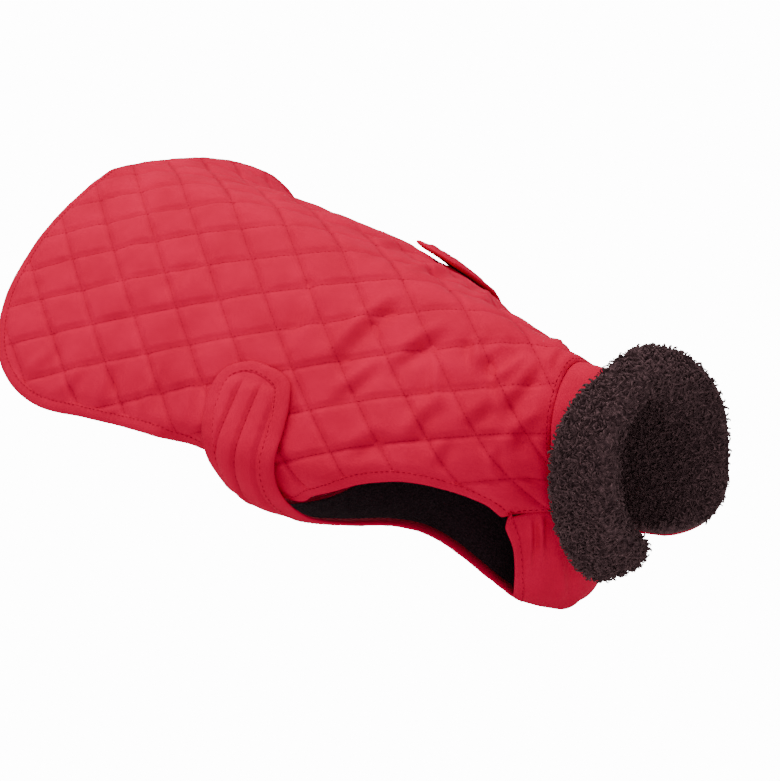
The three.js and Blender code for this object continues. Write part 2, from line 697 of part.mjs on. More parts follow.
function collarBand(lower, upper) {
  const vertices = [];
  const rows = COLLAR_ACROSS + 1;
  for (const height of [upper, lower]) {
    for (let i = 0; i <= COLLAR_AROUND; i += 1) {
      const down = COLLAR_LEFT_GAP - neckHalf + collarLength * i / COLLAR_AROUND;
      for (let j = 0; j < rows; j += 1) {
        const width = NECK_MARGIN + (collarWidth(down) - NECK_MARGIN) * j / COLLAR_ACROSS;
        vertices.push(collarPlace(down, width, height));
      }
    }
  }
  const shift = (COLLAR_AROUND + 1) * rows;
  const triangles = [];
  const quad = (a, b, c, d) => triangles.push([a, b, c], [a, c, d]);
  for (let i = 0; i < COLLAR_AROUND; i += 1) {
    for (let j = 0; j < COLLAR_ACROSS; j += 1) {
      const a = i * rows + j;
      quad(a, a + rows, a + rows + 1, a + 1);
      quad(a + shift, a + 1 + shift, a + rows + 1 + shift, a + rows + shift);
    }
    const b = i * rows;
    const t = b + COLLAR_ACROSS;
    quad(b, b + shift, b + rows + shift, b + rows);
    quad(t, t + rows, t + rows + shift, t + shift);
  }
  for (let j = 0; j < COLLAR_ACROSS; j += 1) {
    const e = COLLAR_AROUND * rows + j;
    quad(j, j + 1, j + 1 + shift, j + shift);
    quad(e, e + shift, e + 1 + shift, e + 1);
  }
  return body(vertices, triangles);
}

addPiece('collar_band', collarBand(SEAM_GAP / 2, SEAM_GAP / 2 + COLLAR_WALL), RED, 0.8);
addPiece('collar_pile', collarBand(-SEAM_GAP / 2 - PILE_WALL, -SEAM_GAP / 2), PILE_BROWN, 1.0);

export default group;
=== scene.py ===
import math
from collections import namedtuple

import bpy
import numpy as np
from mathutils import Matrix, Vector
from mathutils.geometry import delaunay_2d_cdt


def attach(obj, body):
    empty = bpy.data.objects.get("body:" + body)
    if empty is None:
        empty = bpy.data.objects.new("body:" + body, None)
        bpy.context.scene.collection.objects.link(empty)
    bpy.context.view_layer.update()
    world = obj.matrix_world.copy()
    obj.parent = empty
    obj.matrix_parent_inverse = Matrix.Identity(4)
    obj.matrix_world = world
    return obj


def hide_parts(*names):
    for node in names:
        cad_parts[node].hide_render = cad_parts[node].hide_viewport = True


# A dog's winter coat in the hollow form that it keeps when worn. The tables are in millimetres.
# X runs forward to the neck, Y to the dog's left and Z up.
# On the cut, "back" is the distance behind the nape along the spine and "down" the distance over
# the side from the spine, positive on the dog's right.

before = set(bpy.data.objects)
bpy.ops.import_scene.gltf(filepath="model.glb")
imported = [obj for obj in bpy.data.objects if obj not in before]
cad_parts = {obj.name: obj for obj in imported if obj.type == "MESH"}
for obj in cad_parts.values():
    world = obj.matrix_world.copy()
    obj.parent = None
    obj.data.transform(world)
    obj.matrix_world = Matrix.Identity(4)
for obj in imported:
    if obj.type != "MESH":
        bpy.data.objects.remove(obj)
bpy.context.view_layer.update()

# ---- sizes shared with the solids

SEAM_GAP = 0.3
SHELL_WALL = 1.7
LINING_WALL = 2.0
PILE_WALL = 8.0
COLLAR_WALL = 1.7
NECK_MARGIN = 0.3
DIAMOND_LONG = 60
DIAMOND_WIDE = 44
DIAMOND_START = 36
HOLD_BACK = 120
NAPE_DROP = 8
RIDGE_WIDTH = 8.6
FORM_LENGTH = 500
YOKE_AT_NECK = 122
YOKE_GAP = 0.5
COLLAR_WIDTH = 92
FOLD_LEAST = 20
COLLAR_LEFT_GAP = 2
COLLAR_RIGHT_GAP = 16
COLLAR_CORNER_LEFT = 60
COLLAR_CORNER_RIGHT = 12
COLLAR_AXIS = np.array([0.954, 0, 0.3])
COLLAR_AXIS = COLLAR_AXIS / np.linalg.norm(COLLAR_AXIS)

# back, slope in degrees
SPINE = np.array([
    (0, -9), (50, -8), (110, -5), (220, -4.5), (330, -1), (450, 8), (520, 12),
])

# back, bellyX, bellyZ, tilt, right curl, left curl, turn, side, floor, sag
RINGS = np.array([
    (0, 42, -137, 14, 0.95, 0.95, 60, 40, 34, 28),
    (40, 43, -168, 17, 0.58, 0.58, 85, 45, 45, 38),
    (80, 34, -218, 19, 0.36, 0.37, 115, 48, 68, 27),
    (120, -6, -209, 20, 0.24, 0.3, 140, 46, 85, 18),
    (160, -80, -179, 19, 0.19, 0.22, 160, 44, 90, 4),
    (200, -150, -193, 18, 0.16, 0.18, 172, 48, 110, 0),
    (250, -235, -196, 16, 0.15, 0.155, 182, 44, 110, 0),
    (300, -299, -192, 15, 0.15, 0.17, 240, 40, 90, 0),
    (350, -349, -196, 14, 0.14, 0.195, 240, 40, 90, 0),
    (400, -399, -200, 13, 0.13, 0.2, 240, 40, 90, 0),
    (450, -449, -200, 11, 0.12, 0.11, 240, 40, 90, 0),
    (500, -498, -200, 10, 0.12, 0.04, 240, 40, 90, 0),
])
RING_COLUMNS = "back", "bellyX", "bellyZ", "tilt", "right", "left", "turn", "side", "floor", "sag"

# back, down
BACK_EDGE = [
    (484, 0), (483, 45), (475, 98), (458, 157), (431, 204), (405, 222), (375, 227), (335, 218),
    (275, 203), (215, 196), (165, 208), (147, 208), (138, 197), (120, 181), (99, 162), (77, 148),
    (54, 139), (30, 136), (12, 140), (2, 149),
]

# ring, over: the distance over the side from the belly line
BELLY_EDGE = [
    (58, 112), (76, 93), (91, 76), (98, 68), (108, 62), (125, 58), (150, 62), (172, 80), (186, 110),
    (192, 150), (193, 200), (194, 250), (201, 271), (217, 278), (233, 270), (234, 244), (220, 190),
    (221, 140), (220, 60), (220, 0),
]

# over, off: how far a strap stands off the body
STRAP_RIGHT = np.array([(0, 0), (90, 0), (150, 5.5), (190, 8.5), (240, 8), (310, 7.4)])
STRAP_LEFT = np.array([(0, 0), (90, 0), (150, 5.5), (190, 9), (240, 9.5), (310, 11)])

# place, stand, lean, fold, radius
COLLAR = np.array([
    (-1, 56, 6, 32, 12), (-0.7, 58, -6, 26, 12), (-0.4, 58, -4, 44, 12), (-0.2, 56, -8, 105, 10),
    (0, 52, -10, 168, 9), (0.25, 42, -6, 178, 7), (0.6, 36, 0, 174, 6.5), (0.85, 35, 4, 150, 7),
    (1, 36, 6, 120, 8),
])

# ---- the body's form


def column(rows, n, at):
    """Column n of a table, read smoothly where its first column is at."""
    keys, values = rows[:, 0], rows[:, n]
    last = len(keys) - 1
    at = np.asarray(at, float)
    after = np.minimum(np.arange(last + 1) + 1, last)
    before = np.maximum(np.arange(last + 1) - 1, 0)
    rise = (values[after] - values[before]) / (keys[after] - keys[before])
    i = np.searchsorted(keys[1:last], at, side="left")
    span = keys[i + 1] - keys[i]
    t = np.clip((at - keys[i]) / span, 0, 1)
    return (
        values[i] * (2 * t**3 - 3 * t**2 + 1) + values[i + 1] * (3 * t**2 - 2 * t**3)
        + rise[i] * span * (t**3 - 2 * t**2 + t) + rise[i + 1] * span * (t**3 - t**2)
    )


def ring_value(name, back):
    return column(RINGS, RING_COLUMNS.index(name), back)


def spine_line():
    step = 2
    backs = np.arange(0, FORM_LENGTH + 20, step)
    slopes = np.radians(column(SPINE, 1, backs))
    x = np.concatenate([[0], -np.cumsum(step * np.cos(slopes))])
    z = np.concatenate([[0], -np.cumsum(step * np.sin(slopes))]) - NAPE_DROP
    return np.concatenate([backs, [backs[-1] + step]]), x, z


SPINE_BACK, SPINE_X, SPINE_Z = spine_line()
HOLD_X = np.interp(HOLD_BACK, SPINE_BACK, SPINE_X)
HOLD_Z = np.interp(HOLD_BACK, SPINE_BACK, SPINE_Z) - SEAM_GAP / 2 - LINING_WALL


def half_ring(back, half, samples):
    """One half of a ring, laid out on the right, from the spine to the belly point."""
    top = np.array([np.interp(back, SPINE_BACK, SPINE_X), np.interp(back, SPINE_BACK, SPINE_Z)])
    fall = np.array([ring_value("bellyX", back), ring_value("bellyZ", back)]) - top
    depth = np.hypot(*fall)
    s = np.arange(0.5, ring_value("turn", back))
    angle = np.radians(ring_value("tilt", back) * np.tanh(s / RIDGE_WIDTH) + ring_value(half, back) * s)
    wide = np.concatenate([[0], np.cumsum(np.cos(angle))])
    deep = np.concatenate([[0], np.cumsum(np.sin(angle))])
    handle = ring_value("side", back)
    start = np.array([wide[-1], deep[-1]])
    first = start + handle * np.array([math.cos(angle[-1]), math.sin(angle[-1])])
    second = np.array([ring_value("floor", back), depth])
    end = np.array([0, depth])
    t = np.arange(0.01, 1.005, 0.01)[:, None]
    rounded = (1 - t)**3 * start + 3 * (1 - t)**2 * t * first + 3 * (1 - t) * t**2 * second + t**3 * end
    wide = np.concatenate([wide, rounded[:, 0]])
    deep = np.concatenate([deep, rounded[:, 1]])
    lengths = np.concatenate([[0], np.cumsum(np.hypot(np.diff(wide), np.diff(deep)))])
    at = np.linspace(0, lengths[-1], samples)
    y = np.interp(at, lengths, wide)
    d = np.interp(at, lengths, deep) / depth
    return np.stack([top[0] + d * fall[0], -y, top[1] + d * fall[1]], 1), lengths[-1]


STATION_STEP = 5
SAMPLES = 220
MIRROR_Y = np.array([1, -1, 1])


def half_form(half):
    rings = [half_ring(back, half, SAMPLES) for back in range(0, FORM_LENGTH + 1, STATION_STEP)]
    points = np.array([r[0] for r in rings])
    points = np.concatenate([points[:, 1:2] * MIRROR_Y, points, points[:, -2:-1] * MIRROR_Y], 1)
    before = 2 * points[:1] - points[1:2]
    after = 2 * points[-1:] - points[-2:-1]
    return np.concatenate([before, points, after]), np.array([r[1] for r in rings])


HALVES = {"right": half_form("right"), "left": half_form("left")}


def spline_weights(t):
    return 0.5 * np.stack([
        -t + 2 * t**2 - t**3, 2 - 5 * t**2 + 3 * t**3, t + 4 * t**2 - 3 * t**3, -t**2 + t**3,
    ])


def ring_length(back, down):
    back, down = np.broadcast_arrays(np.asarray(back, float), down)
    steps = np.arange(len(HALVES["right"][1])) * STATION_STEP
    left, right = (np.interp(back, steps, HALVES[half][1]) for half in ("left", "right"))
    return np.where(down < 0, left, right)


def form(back, down):
    """Points of the body's form, on the ring at back and down its side."""
    back, down = np.broadcast_arrays(np.asarray(back, float), np.asarray(down, float))
    out = np.zeros(back.shape + (3,))
    for half, here in (("right", down >= 0), ("left", down < 0)):
        if not here.any():
            continue
        points, lengths = HALVES[half]
        t = np.clip(back[here] / STATION_STEP, 0, len(lengths) - 1.001)
        i = t.astype(int)
        s = np.clip(np.abs(down[here]) / ring_length(back[here], down[here]), 0, 1) * (SAMPLES - 1)
        j = np.minimum(s.astype(int), SAMPLES - 2)
        wi, wj = spline_weights(t - i), spline_weights(s - j)
        p = np.zeros((len(i), 3))
        for a in range(4):
            for b in range(4):
                p += (wi[a] * wj[b])[:, None] * points[i + a, j + b]
        if half == "left":
            p[:, 1] = -p[:, 1]
            p[:, 2] -= ring_value("sag", back[here]) * (p[:, 1] / 100)**2
        out[here] = p
    out[..., 0] -= HOLD_X
    out[..., 2] -= HOLD_Z
    return out


def ring_for(back, down):
    """The ring whose point at down lies square to the spine point at back."""
    back = np.asarray(back, float)
    x = np.where(back >= 0, np.interp(np.maximum(back, 0), SPINE_BACK, SPINE_X), -back) - HOLD_X
    low, high = np.zeros(back.shape), np.full(back.shape, float(FORM_LENGTH))
    for _ in range(22):
        middle = (low + high) / 2
        ahead = form(middle, down)[..., 0] > x
        low, high = np.where(ahead, middle, low), np.where(ahead, high, middle)
    return (low + high) / 2


def unit(v):
    return v / np.maximum(np.linalg.norm(v, axis=-1, keepdims=True), 1e-9)


def form_normal(ring, down):
    e = 2.5
    along = form(ring + e, down) - form(np.maximum(ring - e, 0), down)
    across = form(ring, down + e) - form(ring, down - e)
    return unit(np.cross(along, across))


def neck_radial(down):
    tangent = form(np.zeros(np.shape(down)), down + 2) - form(np.zeros(np.shape(down)), down - 2)
    return unit(np.cross(tangent, COLLAR_AXIS))


def neck_mitre(down):
    limit = ring_length(0, down) - 2.6
    down = np.clip(down, -limit, limit)
    normal = form_normal(np.zeros(np.shape(down)), down)
    mitre = unit(neck_radial(down) + normal)
    return mitre / (mitre * normal).sum(-1, keepdims=True)


def lifted(ring, down, height):
    """Points above the form, by its normal, which turns into the mitre at the neck seam."""
    ring, down, height = np.broadcast_arrays(ring, down, height)
    near = np.clip(1 - (ring - NECK_MARGIN) / 5, 0, 1)[:, None]
    normal = form_normal(ring, down)
    if (near > 0).any():
        at = near[:, 0] > 0
        normal[at] = normal[at] * (1 - near[at]) + neck_mitre(down[at]) * near[at]
    return form(ring, down) + normal * height[:, None]


def on_back(cut, height):
    return lifted(ring_for(cut[:, 0], cut[:, 1]), cut[:, 1], height)


def on_belly(cut, height):
    over = cut[:, 1]
    away = np.abs(over)
    off = np.where(over > 0, column(STRAP_RIGHT, 1, away), column(STRAP_LEFT, 1, away))
    down = (ring_length(cut[:, 0], over) - away) * np.where(over < 0, -1, 1)
    return lifted(cut[:, 0], down, height + off)


# ---- flat cutting


def smooth_line(knots, step):
    """Points a step apart on a smooth curve through the knots, with both ends kept."""
    p = np.asarray(knots, float)
    p = np.concatenate([[2 * p[0] - p[1]], p, [2 * p[-1] - p[-2]]])
    fine = [p[1:2]]
    t = np.linspace(0, 1, 41)[1:, None]
    for a, b, c, d in zip(p[:-3], p[1:-2], p[2:-1], p[3:]):
        ab, bc, cd = (max(np.linalg.norm(v)**0.5, 1e-6) for v in (b - a, c - b, d - c))
        m1 = ((b - a) / ab - (c - a) / (ab + bc) + (c - b) / bc) * bc
        m2 = ((c - b) / bc - (d - b) / (bc + cd) + (d - c) / cd) * bc
        fine.append(b * (2 * t**3 - 3 * t**2 + 1) + m1 * (t**3 - 2 * t**2 + t)
                    + c * (3 * t**2 - 2 * t**3) + m2 * (t**3 - t**2))
    fine = np.concatenate(fine)
    return even_steps(fine, step)


def even_steps(line, step):
    lengths = np.concatenate([[0], np.cumsum(np.linalg.norm(np.diff(line, axis=0), axis=1))])
    count = max(2, round(lengths[-1] / step))
    at = np.linspace(0, lengths[-1], count + 1)
    return np.stack([np.interp(at, lengths, line[:, k]) for k in range(line.shape[1])], 1)


def mirrored(line):
    return (line * np.array([1, -1]))[::-1]


def edge_distance(outline, p):
    """Distance of flat points from a closed outline, and whether they are inside it."""
    best = np.full(len(p), np.inf)
    odd = np.zeros(len(p), bool)
    for a, b in zip(outline, np.roll(outline, -1, 0)):
        line = b - a
        t = np.clip((p - a) @ line / (line @ line + 1e-12), 0, 1)
        best = np.minimum(best, np.hypot(*(p - a - t[:, None] * line).T))
        crosses = (a[1] > p[:, 1]) != (b[1] > p[:, 1])
        if crosses.any() and b[1] != a[1]:
            odd ^= crosses & (p[:, 0] < (b[0] - a[0]) * (p[:, 1] - a[1]) / (b[1] - a[1]) + a[0])
    return best, odd


def flat_mesh(outline, lattice, clear):
    """The outline filled with triangles over the lattice points that lie inside it."""
    far, within = edge_distance(outline, lattice)
    points = np.concatenate([outline, lattice[within & (far > clear)]])
    count = len(outline)
    edges = [(i, (i + 1) % count) for i in range(count)]
    made = delaunay_2d_cdt([Vector(p) for p in points], edges, [], 1, 1e-5)
    source = [o[0] for o in made[3]]
    faces = np.array([[source[i] for i in f] for f in made[2]])
    a, b, c = (points[faces[:, k]] for k in range(3))
    turn = (b[:, 0] - a[:, 0]) * (c[:, 1] - a[:, 1]) - (c[:, 0] - a[:, 0]) * (b[:, 1] - a[:, 1])
    faces[turn < 0] = faces[turn < 0][:, ::-1]
    return points, faces[np.abs(turn) > 1e-9]


def grid(step, low, high, across):
    """Staggered points a step apart."""
    rows = []
    for n, x in enumerate(np.arange(low, high, step * 0.866)):
        y = np.arange(-across, across, step) + (n % 2) * step / 2
        rows.append(np.stack([np.full(len(y), x), y], 1))
    return np.concatenate(rows)


# ---- unevenness of the cloth


def soft_noise(p, size, seed):
    """Smooth uneven values from -1 to 1 over flat points, size across."""
    table = np.random.default_rng(seed).uniform(-1, 1, (64, 64))
    q = p / np.asarray(size, float)
    i = np.floor(q).astype(int)
    t = q - i
    t = t * t * (3 - 2 * t)
    def at(di, dj):
        return table[(i[:, 0] + di) % 64, (i[:, 1] + dj) % 64]
    near = at(0, 0) * (1 - t[:, 0]) + at(1, 0) * t[:, 0]
    far = at(0, 1) * (1 - t[:, 0]) + at(1, 1) * t[:, 0]
    return near * (1 - t[:, 1]) + far * t[:, 1]


def smoothstep(x, low, high):
    t = np.clip((x - low) / (high - low), 0, 1)
    return t * t * (3 - 2 * t)


def fold_rise(folds, p):
    """Height of the listed creases: a soft ridge with a trough along one side of it."""
    rise = np.zeros(len(p))
    for x0, y0, x1, y1, width, height in folds:
        line = np.array([x1 - x0, y1 - y0], float)
        length = np.hypot(*line)
        q = p - np.array([x0, y0])
        along = q @ line / length**2
        side = (q[:, 0] * line[1] - q[:, 1] * line[0]) / length
        side = side + 1.6 * np.sin(along * 5 + x0)
        shape = np.exp(-(side / width)**2) - 0.75 * np.exp(-((side - 1.35 * width) / width)**2)
        inside = (along > 0) & (along < 1)
        rise += np.where(inside, height * shape * np.sin(np.pi * np.clip(along, 0, 1))**0.8, 0)
    return rise


def edge_ripple(p, seed):
    """How unevenly the bound edges run, the same for every layer at an edge."""
    return 0.7 * soft_noise(p, 34, seed) + 0.35 * soft_noise(p, 15, seed + 1)

# ---- pieces


def uv_metres(mesh, cut):
    """The piece's own map is its cut, in metres, so a weave keeps its scale and follows it."""
    layer = mesh.uv_layers.new(name="cut")
    corners = np.zeros(len(mesh.loops), np.int32)
    mesh.loops.foreach_get("vertex_index", corners)
    layer.data.foreach_set("uv", (cut[corners] / 1000).astype(np.float32).ravel())


def volume_of(points, faces):
    points = points - points.mean(0)
    total = 0
    for f in faces:
        for k in range(1, len(f) - 1):
            total += np.dot(points[f[0]], np.cross(points[f[k]], points[f[k + 1]]))
    return total / 6


def make_piece(name, points, faces, cut, material, crease=None):
    faces = [tuple(map(int, f)) for f in faces]
    if volume_of(points, faces) < 0:
        faces = [f[::-1] for f in faces]
    mesh = bpy.data.meshes.new(name)
    mesh.from_pydata((points / 1000).tolist(), [], faces)
    mesh.validate()
    mesh.update()
    uv_metres(mesh, np.asarray(cut, float))
    # the crease attribute holds how strongly painted shade darkens the colour along the stitches
    if crease is not None:
        mesh.attributes.new("crease", "FLOAT", "POINT").data.foreach_set("value", crease.astype(np.float32))
    mesh.shade_smooth()
    piece = bpy.data.objects.new(name, mesh)
    bpy.context.scene.collection.objects.link(piece)
    piece.data.materials.append(material)
    return piece


def cloth_shell(outer, inner, outer_points, inner_points, rim):
    """A closed wall between a fine outer face and a plainer inner one, which share their outline."""
    shift = len(outer_points)
    i = np.arange(rim)
    j = (i + 1) % rim
    walls = [np.stack([i + shift, j + shift, j], 1), np.stack([i + shift, j, i], 1)]
    faces = np.concatenate([outer[1], inner[1][:, ::-1] + shift, *walls])
    return np.concatenate([outer_points, inner_points]), faces


# ---- finishes


def node_tree(name):
    material = bpy.data.materials.new(name)
    material.use_nodes = True
    nodes = material.node_tree.nodes
    return material, nodes, material.node_tree.links, nodes["Principled BSDF"]


def colour(r, g, b):
    """A colour read off the photograph as sRGB 0 to 255, for a shader."""
    def one(v):
        v = v / 255
        return v / 12.92 if v <= 0.04045 else ((v + 0.055) / 1.055)**2.4
    return (one(r), one(g), one(b), 1)


def mix_colours(nodes, links, amount, a, b):
    mix = nodes.new("ShaderNodeMix")
    mix.data_type = "RGBA"
    links.new(amount, mix.inputs["Factor"])
    for socket, value in (("A", a), ("B", b)):
        target = [s for s in mix.inputs if s.name == socket and s.type == "RGBA"][0]
        if isinstance(value, tuple):
            target.default_value = value
        else:
            links.new(value, target)
    return [s for s in mix.outputs if s.type == "RGBA"][0]


def map_range(nodes, links, value, **ends):
    """A value spread between ends such as From_Min and To_Max, 0 and 1 where they aren't given."""
    node = nodes.new("ShaderNodeMapRange")
    for label, end in ends.items():
        node.inputs[label.replace("_", " ")].default_value = end
    links.new(value, node.inputs["Value"])
    return node.outputs["Result"]


def noise(nodes, links, place, scale, detail, roughness=0.5):
    node = nodes.new("ShaderNodeTexNoise")
    for label, value in (("Scale", scale), ("Detail", detail), ("Roughness", roughness)):
        node.inputs[label].default_value = value
    links.new(place, node.inputs["Vector"])
    return node


def bump(nodes, links, height, strength, distance, under=None, invert=False):
    node = nodes.new("ShaderNodeBump")
    node.invert = invert
    node.inputs["Strength"].default_value = strength
    node.inputs["Distance"].default_value = distance
    links.new(height, node.inputs["Height"])
    if under is not None:
        links.new(under, node.inputs["Normal"])
    return node.outputs["Normal"]


def dull(shader, sheen, sheen_roughness, tint, shine):
    """The soft edge light of cloth, with hardly any shine."""
    shader.inputs["Sheen Weight"].default_value = sheen
    shader.inputs["Sheen Roughness"].default_value = sheen_roughness
    shader.inputs["Sheen Tint"].default_value = colour(*tint)
    shader.inputs["Specular IOR Level"].default_value = shine


def woven(name, light, dark, pitch, roughness, sheen, tint, weave_depth, slub_depth):
    """Plain woven cloth: threads over and under on the cut, uneven dye and dull, with painted shade
    darkening the stitch furrows.
    """
    material, nodes, links, shader = node_tree(name)
    uv = nodes.new("ShaderNodeUVMap")
    uv.uv_map = "cut"
    place = nodes.new("ShaderNodeTexCoord").outputs["Object"]
    weave = nodes.new("ShaderNodeMath")
    weave.operation = "MULTIPLY"
    for n, direction in enumerate("XY"):
        wave = nodes.new("ShaderNodeTexWave")
        wave.bands_direction = direction
        wave.inputs["Scale"].default_value = math.pi / (10 * pitch)
        wave.inputs["Distortion"].default_value = 0.4
        wave.inputs["Detail"].default_value = 1
        wave.inputs["Detail Scale"].default_value = 1.5
        links.new(uv.outputs["UV"], wave.inputs["Vector"])
        links.new(wave.outputs["Fac"], weave.inputs[n])
    slub = noise(nodes, links, place, 420, 4, 0.65).outputs["Fac"]
    dye = noise(nodes, links, place, 26, 5, 0.55).outputs["Fac"]
    spread = map_range(nodes, links, dye, From_Min=0.3, From_Max=0.7)
    base = mix_colours(nodes, links, spread, colour(*light), colour(*dark))
    # painted shade: the crease attribute darkens the colour along the stitch furrows
    painted_stitch_shade = nodes.new("ShaderNodeAttribute")
    painted_stitch_shade.attribute_name = "crease"
    base = mix_colours(nodes, links, painted_stitch_shade.outputs["Fac"], base, colour(*[v * 0.62 for v in dark]))
    links.new(base, shader.inputs["Base Color"])
    threads = bump(nodes, links, weave.outputs["Value"], weave_depth, 0.0002)
    links.new(bump(nodes, links, slub, slub_depth, 0.0006, threads), shader.inputs["Normal"])
    rough = map_range(nodes, links, slub, To_Min=roughness - 0.07, To_Max=roughness + 0.07)
    links.new(rough, shader.inputs["Roughness"])
    dull(shader, sheen, 0.5, tint, 0.08)
    return material


def napped(name, light, dark, size, depth, sheen, tint):
    """Fleece or pile: a curly nap, with painted highlight on the paler tips and painted shade in the dark
    hollows between them.
    """
    material, nodes, links, shader = node_tree(name)
    place = nodes.new("ShaderNodeTexCoord").outputs["Object"]
    curls = nodes.new("ShaderNodeTexVoronoi")
    curls.feature = "SMOOTH_F1"
    curls.inputs["Scale"].default_value = 1 / size
    curls.inputs["Smoothness"].default_value = 0.6
    shift = nodes.new("ShaderNodeVectorMath")
    shift.operation = "MULTIPLY_ADD"
    links.new(noise(nodes, links, place, 1.4 / size, 4).outputs["Color"], shift.inputs[0])
    shift.inputs[1].default_value = (size * 1.2,) * 3
    links.new(place, shift.inputs[2])
    links.new(shift.outputs["Vector"], curls.inputs["Vector"])
    hollow = curls.outputs["Distance"]
    fibres = noise(nodes, links, place, 900, 3).outputs["Fac"]
    # painted highlight and shade: pale in the middle of each curl, dark in the hollows between curls
    tips = map_range(nodes, links, hollow, From_Min=0.05, From_Max=0.75)
    base = mix_colours(nodes, links, tips, colour(*light), colour(*dark))
    speck = map_range(nodes, links, fibres, From_Min=0.35, From_Max=0.75, To_Max=0.5)
    base = mix_colours(nodes, links, speck, base, colour(*[v * 0.55 for v in dark]))
    links.new(base, shader.inputs["Base Color"])
    nap = bump(nodes, links, hollow, 0.9, depth, invert=True)
    links.new(bump(nodes, links, fibres, 0.6, 0.0005, nap), shader.inputs["Normal"])
    shader.inputs["Roughness"].default_value = 0.95
    dull(shader, sheen, 0.6, tint, 0.1)
    return material


# name, light, dark, pitch of the threads, roughness, sheen, its tint, depth of weave and of slubs
red_cloth = woven("red_cloth", (210, 0, 60), (194, 0, 52), 0.0007, 0.78, 0.02, (255, 20, 70), 0.4, 0.3)
red_tape = woven("red_tape", (205, 0, 58), (190, 0, 50), 0.0008, 0.8, 0.02, (240, 20, 65), 0.5, 0.35)
quilt_thread = woven(
    "quilt_thread", (186, 0, 48), (168, 0, 42), 0.0004, 0.7, 0.02, (240, 20, 65), 0.6, 0.2,
)
red_thread = woven("red_thread", (168, 0, 40), (146, 0, 32), 0.0004, 0.7, 0.02, (240, 20, 55), 0.6, 0.2)
# name, light and dark: the painted highlight on the tips and the painted shade in the hollows, size and
# depth of the curls, sheen, its tint
dark_fleece = napped("dark_fleece", (72, 47, 56), (38, 22, 30), 0.0022, 0.0012, 0.2, (110, 85, 88))
brown_pile = napped("brown_pile", (112, 84, 87), (56, 38, 42), 0.0034, 0.002, 0.25, (150, 118, 118))

# ---- outlines of the cut

EDGE_STEP = 3.2
SHELL_INSIDE = SEAM_GAP / 2
SHELL_OUTSIDE = SHELL_INSIDE + SHELL_WALL
LINING_OUTSIDE = -SEAM_GAP / 2
LINING_INSIDE = LINING_OUTSIDE - LINING_WALL


def neck_cut(down):
    down = np.asarray(down, float)
    return np.stack([-(form(np.full(down.shape, NECK_MARGIN), down)[:, 0] + HOLD_X), down], 1)


back_right = smooth_line(BACK_EDGE, EDGE_STEP)
yoke_line = even_steps(np.concatenate([back_right[-1:], neck_cut([YOKE_AT_NECK])]), EDGE_STEP)
neck_line = neck_cut(np.linspace(YOKE_AT_NECK, -YOKE_AT_NECK, 84))[1:-1]
back_edge = np.concatenate([
    back_right, yoke_line[1:], neck_line, mirrored(yoke_line)[:-1], mirrored(back_right)[:-1],
])

yoke_ring = ring_for(yoke_line[:, 0], yoke_line[:, 1])
belly_yoke = np.stack([yoke_ring, ring_length(yoke_ring, 1) - yoke_line[:, 1] - YOKE_GAP], 1)[::-1]
belly_right = smooth_line(np.concatenate([belly_yoke[-1:], BELLY_EDGE]), EDGE_STEP)
throat_over = belly_yoke[0, 1]
throat = np.linspace(-throat_over, throat_over, 38)[1:-1]
belly_throat = np.stack([np.full(len(throat), NECK_MARGIN), throat], 1)
belly_edge = np.concatenate([
    mirrored(belly_right)[1:], mirrored(belly_yoke)[1:], belly_throat, belly_yoke[:-1], belly_right,
])[::-1]

# ---- shells and linings

# edge, place, and the seed and reach of the unevenness along its edge
Panel = namedtuple("Panel", "edge place seed reach")
BACK = Panel(back_edge, on_back, 31, 12)
BELLY = Panel(belly_edge, on_belly, 81, 10)
# low, high, across: where the lattices of the two cuts run
BACK_SPAN = -40, 490, 235
BELLY_SPAN = -5, 260, 300


def far_in(panel, cut):
    return edge_distance(panel.edge, cut)[0]


def uneven_edge(panel, cut, far):
    return edge_ripple(cut, panel.seed) * np.exp(-(far / panel.reach)**2)


def layer(name, panel, outer, outer_height, inner, inner_height, material, crease=None):
    """A closed layer of a panel between its outer and inner face."""
    faces = ((outer, outer_height), (inner, inner_height))
    sides = [panel.place(face[0], height) for face, height in faces]
    points, made = cloth_shell(outer, inner, *sides, len(panel.edge))
    return make_piece(name, points, made, np.concatenate([outer[0], inner[0]]), material, crease)


def shell(name, panel, fine, plain, height_of):
    rise, crease = height_of(fine[0], far_in(panel, fine[0]))
    under = SHELL_INSIDE + uneven_edge(panel, plain[0], far_in(panel, plain[0]))
    crease = np.concatenate([crease, np.zeros(len(plain[0]))])
    return layer(name, panel, fine, rise, plain, under, red_cloth, crease)


def nap(cut, seed):
    fine = 0.28 * soft_noise(cut, 5, seed) + 0.2 * soft_noise(cut, 2.8, seed + 1)
    return fine + 0.6 * soft_noise(cut, 40, seed + 2)


def lining(name, panel, plain, fine, seed):
    over = LINING_OUTSIDE + uneven_edge(panel, plain[0], far_in(panel, plain[0]))
    far = far_in(panel, fine[0])
    under = LINING_INSIDE + uneven_edge(panel, fine[0], far) - nap(fine[0], seed) * smoothstep(far, 0, 6)
    return layer(name, panel, plain, over, fine, under, dark_fleece)


# ---- back panel

QUILT_STEPS = 12
PILLOW = 2.8
PUCKER = 0.5

